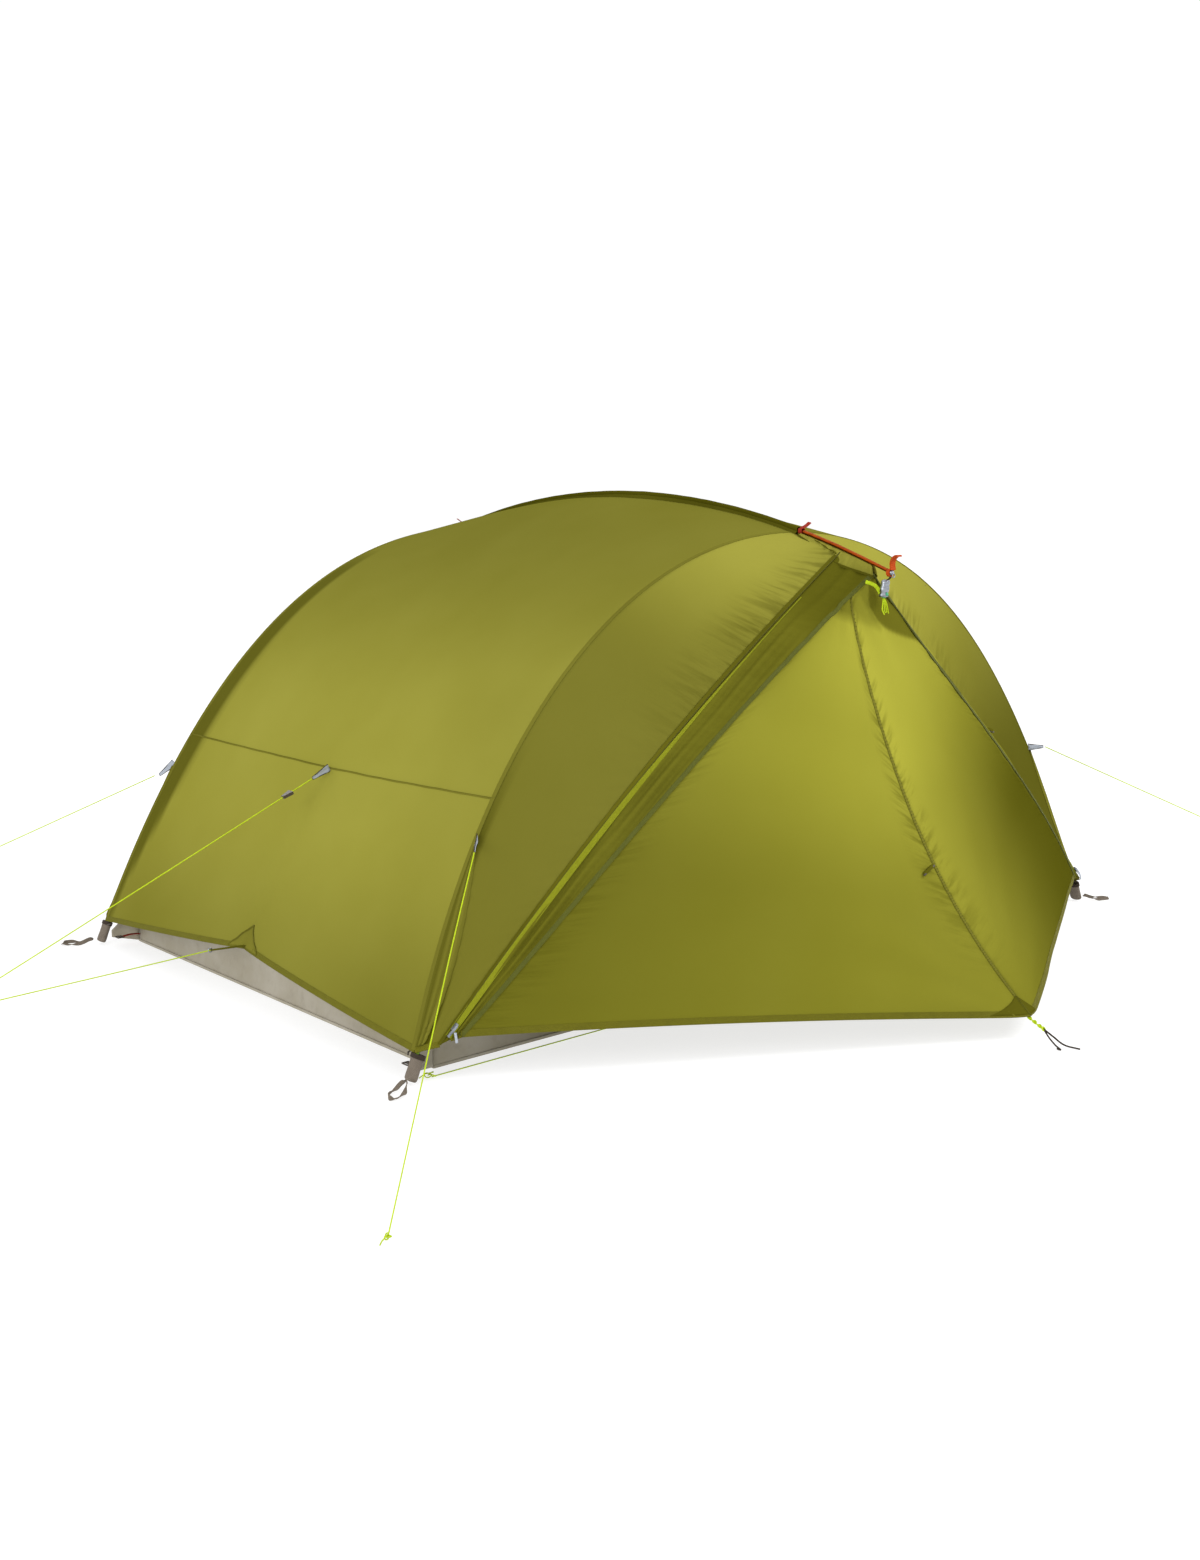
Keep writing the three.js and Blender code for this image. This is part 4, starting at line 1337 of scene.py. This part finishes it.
def make_stake_strap(side):
    """Neon strap at a vestibule point, with the two dark ends that hang from its knot."""
    name = SIDE[side] + "_stake"
    corner = Vector((0, side * 1.311, 0.045))
    knot_at = Vector((0.001, side * 1.349, 0.027))
    twist = [corner.lerp(knot_at, k / 16) for k in range(17)]
    strap = ribbon(name + "_webbing", twist, lambda i: Vector((math.cos(i * 0.6), 0, math.sin(i * 0.6))),
                   0.008, 0.0018, NEON)
    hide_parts(name + "_strap")
    ring(name + "_knot", knot_at, Vector((0, 0.6, 0.8)), SIDEWAYS, 0.0042, 0.0017, NEON)
    long_leg = through_points([knot_at, (0.005, side * 1.372, 0.014), (0.002, side * 1.400, 0.0045),
                               (0.010, side * 1.432, 0.002)], 8)
    tube(name + "_leg_0", long_leg, 0.0019, DARK_WEBBING)
    loop = through_points([knot_at, (-0.005, side * 1.368, 0.013), (-0.012, side * 1.388, 0.004),
                           (-0.019, side * 1.402, 0.0022), (-0.024, side * 1.408, 0.0022),
                           (-0.024, side * 1.401, 0.0022), (-0.018, side * 1.397, 0.0022)], 8)
    tube(name + "_leg_1", loop, 0.0017, DARK_WEBBING)


for corner in CORNERS:
    make_corner(*corner)
for side in (FRONT, BACK):
    make_stake_strap(side)


# ---------- poles, ridge ends and awning hardware ----------
def pole_point(pole, t):
    if pole == "ridge":
        return Vector((0, t * RIDGE_REACH, ridge_z(t * RIDGE_REACH)))
    return arch_point(t, pole)


def make_pole_details():
    """Ferrules where pole sections meet, and metal tips at the feet; reach and half are shares of a pole."""
    for pole, name, count, reach, half in ((FRONT, "front_arch", 7, 0.84, 0.012),
                                           (BACK, "back_arch", 7, 0.84, 0.012),
                                           ("ridge", "ridge", 3, 0.5, 0.022)):
        for k in range(count):
            middle = lerp(-reach, reach, k / (count - 1))
            path = [pole_point(pole, middle + half * (j / 4 - 1)) for j in range(9)]
            tube(f"{name}_ferrule_{k}", path, POLE_R + 0.00035, SILVER, sides=16)
    for side, end in CORNERS:
        tip = [arch_point(end * arch_parameter(z), side) for z in (0.0075, 0.012, 0.016)]
        tube(f"{SIDE[side]}_{END[end]}_pole_tip", tip, POLE_R + 0.0006, SILVER, sides=14)


def make_ridge_sleeve():
    """Channel of fly fabric over the ridge pole, gathered a little at its mouths."""
    rows = []
    for i in range(121):
        k = i / 120
        y = lerp(-0.640, 0.640, k)
        mouth = math.exp(-((min(k, 1 - k) / 0.02) ** 2))
        row = []
        for j in range(17):
            a = 2 * math.pi * j / 16
            r = 0.0068 + 0.0006 * noise.noise(Vector((math.cos(a), math.sin(a), y * 22))) + 0.0008 * mouth
            z = ridge_z(y) + r * math.sin(a)
            # Painted shade of 0.4 darkens the whole channel.
            row.append((Vector((r * 1.04 * math.cos(a), y, z)), (y, a * r), 0.4))
        rows.append(row)
    sleeve = add_object("ridge_channel", grid_mesh("ridge_channel", [rows], FINE_WELD), DOUBLED_AND_PAINTED_SHADOW)
    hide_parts("ridge_sleeve")
    for end in (LEFT, RIGHT):
        stations = [lerp(-0.638, 0.638, k / 80) for k in range(81)]
        path = [Vector((end * 0.0080, y, ridge_z(y) - 0.0065)) for y in stations]
        ribbon("ridge_channel_skirt_" + END[end], path, lambda i, end=end: Vector((end * 0.5, 0, -1)), 0.012,
               0.0012, DOUBLED_AND_PAINTED_SHADOW)


def curve_from(start, moves, steps):
    """Smooth curve through start and the places that the moves from it reach."""
    return through_points([start + Vector(move) for move in moves], steps)


def make_ridge_clip(side):
    """Wrap and red tail where the ridge pole leaves its sleeve."""
    name = SIDE[side]
    clip = pole_point("ridge", side * 0.648 / RIDGE_REACH)
    path = curve_from(clip, [(0, 0, 0.007), (-side * 0.013, 0, 0.011), (-side * 0.027, 0, 0.019)], 6)
    tail = ribbon(name + "_clip_tail", path, lambda i: Vector((0, 1, 0.3)), 0.009, 0.0022, RED_WEBBING)
    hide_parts(name + "_ridge_clip")
    wrap = circle(clip, SIDEWAYS * 0.0068, UP * 0.0068, 24)
    ribbon(name + "_clip_wrap", wrap, lambda i: FORWARD, 0.010, 0.0014, RED_WEBBING)


def make_ridge_cap(side):
    """Orange tab and eyelet on the cap at the ridge pole's end; returns the cap's centre."""
    name = SIDE[side]
    cap = pole_point("ridge", side) + Vector((0, side * 0.008, -0.0034))
    curl = curve_from(cap, [(0, side * 0.004, 0.006), (0, side * 0.002, 0.020), (0, side * 0.006, 0.031),
                            (0, side * 0.014, 0.037), (0, side * 0.021, 0.037)], 6)
    tab = ribbon(name + "_pull_tab", curl, lambda i: SIDEWAYS, 0.016, 0.0036, ORANGE_WEBBING)
    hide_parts(name + "_awning_tab")
    wrap = circle(cap + Vector((0, -side * 0.004, 0)), SIDEWAYS * 0.0082, UP * 0.0082, 24)
    ribbon(name + "_cap_wrap", wrap, lambda i: FORWARD, 0.009, 0.0016, ORANGE_WEBBING)
    ring(name + "_cap_eyelet", cap + Vector((0, side * 0.006, -0.006)), SIDEWAYS, UP, 0.0042, 0.0011, SILVER)
    return cap


LOCK_PROFILE = [(0.0, 0.55), (0.001, 0.95), (0.005, 1.0), (0.011, 0.86), (0.013, 1.0), (0.023, 1.0),
                (0.025, 0.86), (0.031, 0.96), (0.036, 0.90), (0.0395, 0.62), (0.040, 0.1)]


def make_cord_lock(side, cap):
    """Turned barrel under the cap (LOCK_PROFILE: height, share), its webbing, strap and tied cord."""
    name = SIDE[side]
    low, high = (Vector(c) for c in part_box(name + "_awning_buckle"))
    middle = (low + high) / 2
    lean = Vector((0, side * 0.15, 1)).normalized()
    rows = []
    for height, share in LOCK_PROFILE:
        level = middle + lean * (height - 0.020)
        edge = circle(level, SIDEWAYS * (0.0115 * share), FORWARD * (0.0095 * share), 24)
        rows.append([(point, (2 * math.pi * k / 24, height), 0.0) for k, point in enumerate(edge)])
    barrel = add_object(name + "_cord_lock", grid_mesh(name + "_cord_lock", [rows], FINE_WELD), SILVER)
    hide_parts(name + "_awning_buckle")
    insert = [middle + lean * z for z in (-0.0205, -0.0185, -0.0165)]
    tube(name + "_lock_insert", insert, 0.0056, GREEN_PLASTIC, sides=14)
    window = middle + lean * -0.013
    path = [window, window + Vector((0, side * 0.0105, 0))]
    tube(name + "_lock_window", path, 0.0038, GREEN_PLASTIC, sides=12)
    link = through_points([cap + Vector((0, 0, -0.007)), cap.lerp(middle, 0.4) + Vector((0.001, 0, 0)),
                           middle + lean * 0.0185], 6)
    ribbon(name + "_lock_webbing", link, lambda i: SIDEWAYS, 0.007, 0.0013, DARK_WEBBING)

    root = apex_point(1.0, side) + Vector((side * 0.03, side * 0.006, -0.006))
    strap_path = through_points([root, root + Vector((-side * 0.02, side * 0.012, -0.010)),
                                 middle + lean * -0.019 + Vector((side * 0.003, 0, 0))], 8)
    ribbon(name + "_awning_strap", strap_path, lambda i: Vector((0, 0.3, 1)), 0.008, 0.0014, NEON)
    for k in range(4):
        swing = (k - 1.5) * 0.004
        path = curve_from(middle + lean * -0.020, [
            (0, 0, 0), (swing, side * 0.004, -0.012), (swing * 1.8, side * 0.007, -0.026 - 0.003 * k),
            (swing * 0.9, side * 0.009, -0.038 + 0.004 * k)], 6)
        tube(f"{name}_tied_cord_{k}", path, 0.0013, NEON, sides=6)


make_pole_details()
make_ridge_sleeve()
for side in (FRONT, BACK):
    make_ridge_clip(side)
    make_cord_lock(side, make_ridge_cap(side))


# ---------- guy tabs ----------
def guy_tab(name, root, outer):
    """Reflective tab sewn to the seam, narrowing to where its guy line starts, with a dark edging."""
    length = (outer - root).length
    along = (outer - root).normalized()
    upright = (UP - along * along.z).normalized()
    across = along.cross(upright)
    stations = [(k, lerp(0.0090, 0.003, k ** 0.9)) for k in (i / 8 for i in range(9))]
    rows = []
    for k, half in stations:
        row = []
        for j in range(7):
            b = j / 3 - 1
            bow = 0.0012 * (1 - b * b) * math.sin(math.pi * k) + 0.0004 * math.sin(9 * k + 3 * b)
            point = root + along * (k * length) + upright * (b * half) + across * bow
            row.append((point, (k * length, b * half), 0))
        rows.append(row)
    tab = add_object(name + "_patch", grid_mesh(name + "_patch", [rows], FINE_WELD), REFLECTIVE)
    thicken(tab, 0.0016)
    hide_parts(name)
    high = [root + along * (k * length) + upright * half for k, half in stations]
    low = [root + along * (k * length) - upright * half for k, half in stations]
    tube(name + "_piping", high + low[::-1], 0.0011, DARK_WEBBING, sides=6)


def make_guy_tabs():
    tab_t = arch_parameter(0.449)
    for side, end in CORNERS:
        name = f"{SIDE[side]}_{END[end]}_guy_tab"
        root = arch_seam(end * tab_t, side) + Vector((end * 0.8, side * 0.6, 0)) * 0.001
        route = ROUTES.get(f"{SIDE[side]}_{END[end]}_guy")
        outer = Vector((end * 0.970, side * 0.6735, route[0][2] + 0.001 if route else 0.433))
        guy_tab(name, root, outer)
    for end in (LEFT, RIGHT):
        root = roof_point(end * SEAM_T, 0) + Vector((end * 0.002, 0, 0))
        guy_tab(f"{END[end]}_end_guy_tab", root, Vector((end * 0.924, 0, 0.491)))


make_guy_tabs()


# ---------- cloth laid flat ----------
def developed(*grids):
    """(width, length, area) of cloth laid flat: the first grid's longest lines and the area of all."""
    grid = grids[0]
    width = max(path_length([entry[0] for entry in row]) for row in grid)
    length = max(path_length([row[j][0] for row in grid]) for j in range(len(grid[0])))
    area = 0.0
    for grid in grids:
        for row, above in zip(grid, grid[1:]):
            for j in range(len(row) - 1):
                a, b, c, d = row[j][0], row[j + 1][0], above[j + 1][0], above[j][0]
                area += (c - a).cross(d - b).length / 2
    return width, length, area


# ---------- tub and inner tent ----------
TUB_X, TUB_Y, TUB_HEIGHT = 1.060, 0.650, 0.118
TUB_STEPS = 342
TUB_EDGES = [((-1, -1), SIDEWAYS), ((1, -1), FORWARD), ((1, 1), -SIDEWAYS), ((-1, 1), -FORWARD)]
UNDERSIDE = 0.0012


def tub_rim(u):
    """(point, distance to the nearest corner) where u goes once round the tub's rectangle."""
    d = (u % 1.0) * 4 * (TUB_X + TUB_Y)
    lengths = [2 * TUB_X, 2 * TUB_Y] * 2
    k = 0
    while d > lengths[k] and k < 3:
        d -= lengths[k]
        k += 1
    (x, y), along = TUB_EDGES[k]
    return Vector((x * TUB_X, y * TUB_Y, 0)) + along * d, min(d, lengths[k] - d)


def tub_point(u, w):
    """Tray: u goes once round it, w from the middle of the base (0) over its edge (0.5) to the rim (1)."""
    rim, near_corner = tub_rim(u)
    if w < 0.5:
        share = w / 0.5
        point = Vector((rim.x * share * 0.999, rim.y * share * 0.999, UNDERSIDE))
        ripple = 0.004 * (noise.noise(Vector((point.x * 5, point.y * 5, 1))) + 0.6) * (1 - share ** 6)
        point.z += max(0.0, ripple)
        return point
    share = (w - 0.5) / 0.5
    sag = 0.010 * math.sin(math.pi * share) * smooth(0.0, 0.25, near_corner)
    wave = 0.0030 * noise.noise(Vector((rim.x * 6, rim.y * 6, share * 2))) * math.sin(math.pi * share)
    inward = Vector((-rim.x / TUB_X if abs(abs(rim.x) - TUB_X) < 1e-6 else 0,
                     -rim.y / TUB_Y if abs(abs(rim.y) - TUB_Y) < 1e-6 else 0, 0))
    point = rim + inward * (sag + wave + 0.0015)
    dip = 0.012 * math.sin(math.pi * clamp(near_corner / 0.5)) * smooth(0.0, 0.3, near_corner) * share
    point.z = UNDERSIDE + share * (TUB_HEIGHT - 0.002) - dip
    return point


def make_tub_corners():
    """Corners of the tub drawn out to the pole feet."""
    for side, end in CORNERS:
        name = f"{SIDE[side]}_{END[end]}_tub_gusset"
        rows = []
        for i in range(13):
            k = i / 12
            row = []
            for j in range(9):
                w = j / 8
                start = Vector((end * (TUB_X - 0.003), side * (TUB_Y - 0.003), lerp(0.0035, 0.102, w)))
                finish = Vector((end * 1.120, side * 0.676, lerp(0.016, 0.034, w)))
                bow = Vector((-side * end * 0.006, 0.006, 0)) * math.sin(math.pi * k) * math.sin(math.pi * w)
                row.append((start.lerp(finish, k ** 0.8) + bow, (k * 0.07, w * 0.1), 0.0))
            rows.append(row)
        thicken(add_object(name, grid_mesh(name, [rows], FINE_WELD), TUB), 0.0014)


def make_tub():
    columns = 26
    grid = []
    for i in range(TUB_STEPS + 1):
        points = [tub_point(i / TUB_STEPS, j / columns) for j in range(columns + 1)]
        grid.append([(point, (point.x + point.z, point.y), 0.0) for point in points])
    tub = add_object("tub_sheet", grid_mesh("tub_sheet", [grid], 0.00008), TUB)
    thicken(tub, 0.0010)
    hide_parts("floor_tub")
    rim = [tub_point(i / TUB_STEPS, 1.0) for i in range(TUB_STEPS + 1)]
    ribbon("tub_rim_tape", rim, lambda i: UP, 0.012, 0.0026, DARK_WEBBING)
    base = [tub_point(i / TUB_STEPS, 0.5) + Vector((0, 0, 0.003)) for i in range(TUB_STEPS + 1)]
    ribbon("tub_base_tape", base, lambda i: UP, 0.006, 0.0030, TUB)
    return grid


TUB_GRID = make_tub()
make_tub_corners()

WALL_FOOT_Z = TUB_HEIGHT + 0.0015
WALL_FOOT_Y, WALL_TOP_Y = 0.652, 0.592
INNER_T = arch_parameter(0.150)
WALL_LEAN = math.atan2(WALL_FOOT_Y - WALL_TOP_Y, ARCH_TOP - WALL_FOOT_Z)


def inner_y(z):
    return lerp(WALL_FOOT_Y, WALL_TOP_Y, (z - WALL_FOOT_Z) / (ARCH_TOP - WALL_FOOT_Z))


def inner_arch(t):
    if abs(abs(t) - INNER_T) < 1e-9:
        return Vector((math.copysign(TUB_X - 0.003, t), 0, WALL_FOOT_Z + 0.001))
    return arch_offset(t, FRONT, -0.045)


def canopy_surface(s, w):
    point = inner_arch(lerp(-INNER_T, INNER_T, s))
    point.y = lerp(-1, 1, w) * (inner_y(point.z) - 0.004)
    slack = (1 - (2 * w - 1) ** 2) * 0.030
    toward = Vector((-point.x * 0.8, 0, 0.35 - point.z)).normalized()
    return point + toward * slack * smooth(0.12, 0.3, point.z)


def wall_outline():
    """Closed outline of the inner wall in its own plane."""
    points = [(-TUB_X + 0.003, 0.0)]
    for i in range(1, 40):
        p = inner_arch(lerp(-INNER_T, INNER_T, i / 40))
        points.append((p.x, (p.z - WALL_FOOT_Z) / math.cos(WALL_LEAN)))
    return points + [(TUB_X - 0.003, 0.0), points[0]]


def door_outline(inset):
    """Closed outline of the inner door in the wall's plane: straight below, an arch above."""
    half, low, spring, top = 0.470 - inset, 0.028 + inset, 0.330, 0.690 - inset
    points = [(half, low), (half, spring)]
    for curve in ([(half, spring), (half, top - 0.06), (half - 0.16, top), (0, top)],
                  [(0, top), (-half + 0.16, top), (-half, top - 0.06), (-half, spring)]):
        points += [bezier(curve, k / 12) for k in range(1, 13)]
    return points + [(-half, low), points[0]]


def ray_hit(points, centre, angle):
    """Distance from centre to the farthest crossing with the outline in the angle's direction."""
    dx, dz = math.cos(angle), math.sin(angle)
    best = None
    for (x0, z0), (x1, z1) in zip(points, points[1:]):
        ex, ez = x1 - x0, z1 - z0
        cross = dx * ez - dz * ex
        if abs(cross) < 1e-12:
            continue
        fx, fz = x0 - centre[0], z0 - centre[1]
        distance, along = (fx * ez - fz * ex) / cross, (fx * dz - fz * dx) / cross
        if distance > 0 and -1e-6 <= along <= 1 + 1e-6:
            best = distance if best is None else max(best, distance)
    return best


DOOR_CENTRE = (0.0, 0.330)
NETTING_LOW = 0.36
RAYS = [math.radians(a) for a in range(0, 361, 4)]


def on_wall(x, h, side, lift=0.0):
    z = WALL_FOOT_Z + h * math.cos(WALL_LEAN)
    return Vector((x, side * (WALL_FOOT_Y - h * math.sin(WALL_LEAN) + lift), z))


def from_door_centre(r, angle):
    return DOOR_CENTRE[0] + r * math.cos(angle), DOOR_CENTRE[1] + r * math.sin(angle)


def wall_grid(side, inner_edge, outer_edge, columns, slack):
    """Grid of an upright panel, from inner_edge(angle) to outer_edge(angle) round the door's centre."""
    rows = []
    for angle in RAYS:
        near, far = inner_edge(angle), outer_edge(angle)
        row = []
        for j in range(columns + 1):
            k = j / columns
            x, h = from_door_centre(lerp(near, far, k), angle)
            row.append((on_wall(x, h, side, slack(k, x, h)), (x, h), 0.0))
        rows.append(row)
    return rows


def make_inner_tunnel():
    grid = fabric_grid(canopy_surface, 110, 24, lambda s, w, p: pinned(w) * 0.004 * noise.noise(p * 5))
    inner = add_object("inner_tunnel", grid_mesh("inner_tunnel", [grid]), INNER)
    thicken(inner, CLOTH)
    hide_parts("inner_canopy")
    width, length, area = developed(grid)
    return inner


def make_inner_wall(side):
    """Upright wall of the inner tent, its swinging door with a netting window, and the door's zip tape."""
    name = SIDE[side]
    opening, door_edge, wall_edge = door_outline(0.0), door_outline(0.003), wall_outline()
    wall_rows = wall_grid(
        side, lambda a: ray_hit(opening, DOOR_CENTRE, a), lambda a: ray_hit(wall_edge, DOOR_CENTRE, a), 12,
        lambda k, x, h: 0.006 * math.sin(math.pi * k) * noise.noise(Vector((x * 4, h * 4, side))))
    door_rows = wall_grid(
        side, lambda a: 0.0, lambda a: ray_hit(door_edge, DOOR_CENTRE, a), 14,
        lambda k, x, h: (0.010 * (1 - k ** 2) * (noise.noise(Vector((x * 3, h * 3, side + 5))) - 0.2)
                         * smooth(0.06, 0.30, h)))
    wall = add_object(name + "_inner_wall_sheet", grid_mesh(name + "_inner_wall_sheet", [wall_rows]), INNER)
    thicken(wall, CLOTH)
    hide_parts(name + "_inner_wall")
    developed(wall_rows)[2]
    mesh = grid_mesh(name + "_inner_door_sheet", [door_rows])
    body = name + "_inner_door"
    door = add_object(name + "_inner_door_sheet", mesh, [INNER, NETTING], body)
    for face in mesh.polygons:
        x, h = face.center.x, face.center.z - WALL_FOOT_Z
        up = h - DOOR_CENTRE[1]
        window_edge = 0.9 * ray_hit(door_edge, DOOR_CENTRE, math.atan2(up, x))
        face.material_index = 1 if h > NETTING_LOW and math.hypot(x, up) < window_edge else 0
    thicken(door, CLOTH)
    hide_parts(body)
    developed(door_rows)[2]
    zip_places = [from_door_centre(ray_hit(opening, DOOR_CENTRE, a) + 0.006, a) for a in RAYS]
    zip_path = [on_wall(*place, side, 0.0012) for place in zip_places]
    centre = on_wall(*DOOR_CENTRE, side)
    ribbon(name + "_inner_zip_tape", zip_path, lambda i: zip_path[i] - centre, 0.011, 0.0014, DARK_WEBBING)


def make_hanger(side, k):
    """Short strap and hook that hang the inner tent from an arch pole."""
    t = lerp(-0.72, 0.72, k / 6)
    pole, seam = arch_point(t, side), inner_arch(t)
    seam.y = side * (inner_y(seam.z) - 0.004)
    lead = (pole - seam).normalized()
    link = [seam, seam.lerp(pole, 0.5) + Vector((0, side * 0.002, 0)), pole - lead * 0.007]
    tangent = arch_point(t + 0.01, side) - arch_point(t - 0.01, side)
    ribbon(f"{SIDE[side]}_inner_hanger_{k}", through_points(link, 4), lambda i: tangent, 0.010, 0.0014,
           DARK_WEBBING)
    across = tangent.normalized().cross(lead).normalized()
    hook = [pole + lead * (0.0062 * math.cos(a)) + across * (0.0062 * math.sin(a))
            for a in (math.pi * (0.35 + 1.3 * q / 16) for q in range(17))]
    tube(f"{SIDE[side]}_inner_hook_{k}", hook, 0.0014, DARK_PLASTIC, sides=6)


def make_inner():
    inner = make_inner_tunnel()
    for side in (FRONT, BACK):
        make_inner_wall(side)
    for side in (FRONT, BACK):
        for k in range(7):
            make_hanger(side, k)


make_inner()


def declare_cloth():
    roof = [CANOPY_GRIDS["roof", end] for end in (LEFT, RIGHT)]
    sides = [CANOPY_GRIDS["side", side, end] for side, end in CORNERS]
    width, length, _ = developed(roof[0])
    reach = developed(sides[0])[0]
    area = developed(*roof, *sides)[2]
    trims = [f"{END[end]}_end_{part}" for end in (LEFT, RIGHT) for part in ("hem", "seam")]
    trims += [f"{SIDE[side]}_{END[end]}_{part}" for side, end in CORNERS
              for part in ("side_hem", "awning_flap", "awning_flap_hem")]
    for (side, end), grid in DOOR_GRIDS.items():
        width = path_length([entry[0] for entry in grid[2]])
        length = path_length([row[0][0] for row in grid])
        developed(grid)[2]
    width, length = 2 * (TUB_Y + TUB_HEIGHT), 2 * (TUB_X + TUB_HEIGHT)
    area = min(developed(TUB_GRID)[2], width * length)


declare_cloth()


def dress_solids():
    """Detailed materials on the solids that stay as they are."""
    dress = {"front_arch_pole": POLE_GREEN, "back_arch_pole": POLE_GREEN, "ridge_pole": POLE_ORANGE,
             "left_line_adjuster": DARK_PLASTIC}
    for side, end in CORNERS:
        dress[f"{SIDE[side]}_{END[end]}_zip_slider"] = SILVER
    for side in (FRONT, BACK):
        dress[SIDE[side] + "_ridge_cap"] = SILVER
    for name, material in dress.items():
        mesh = bpy.data.objects[name].data
        mesh.materials.clear()
        mesh.materials.append(material)


dress_solids()


# ---------- light and floor ----------
def area_light(name, place, target, size, power):
    data = bpy.data.lights.new(name, "AREA")
    data.shape = "SQUARE"
    data.size = size
    data.energy = power
    light = bpy.data.objects.new(name, data)
    light.location = place
    light.rotation_euler = (Vector(target) - Vector(place)).to_track_quat("-Z", "Y").to_euler()
    bpy.context.collection.objects.link(light)


def make_studio():
    area_light("key", (2.0, -3.6, 3.8), (0, -0.4, 0.6), 2.0, 150)
    area_light("fill", (-5.0, -1.2, 1.6), (0, 0, 0.5), 2.5, 90)
    area_light("rim", (0.5, 4.5, 3.2), (0, 0, 0.6), 3.0, 60)
    world = bpy.data.worlds.new("studio")
    world.use_nodes = True
    background = world.node_tree.nodes["Background"]
    background.inputs["Color"].default_value = (1, 1, 1, 1)
    background.inputs["Strength"].default_value = 1.03
    bpy.context.scene.world = world
    bpy.context.scene.view_settings.view_transform = "Standard"
    mesh = mesh_from("floor", [(-40, -40, 0), (40, -40, 0), (40, 40, 0), (-40, 40, 0)], [(0, 1, 2, 3)])
    floor = bpy.data.objects.new("studio_floor", mesh)
    floor.location.z = -0.0005
    bpy.context.collection.objects.link(floor)
    n = Nodes("studio_floor")
    n.set(Roughness=0.9, Base_Color=(0.32, 0.32, 0.32, 1))
    n.set(Emission_Color=(1, 1, 1, 1), Emission_Strength=0.74)
    mesh.materials.append(n.material)


make_studio()
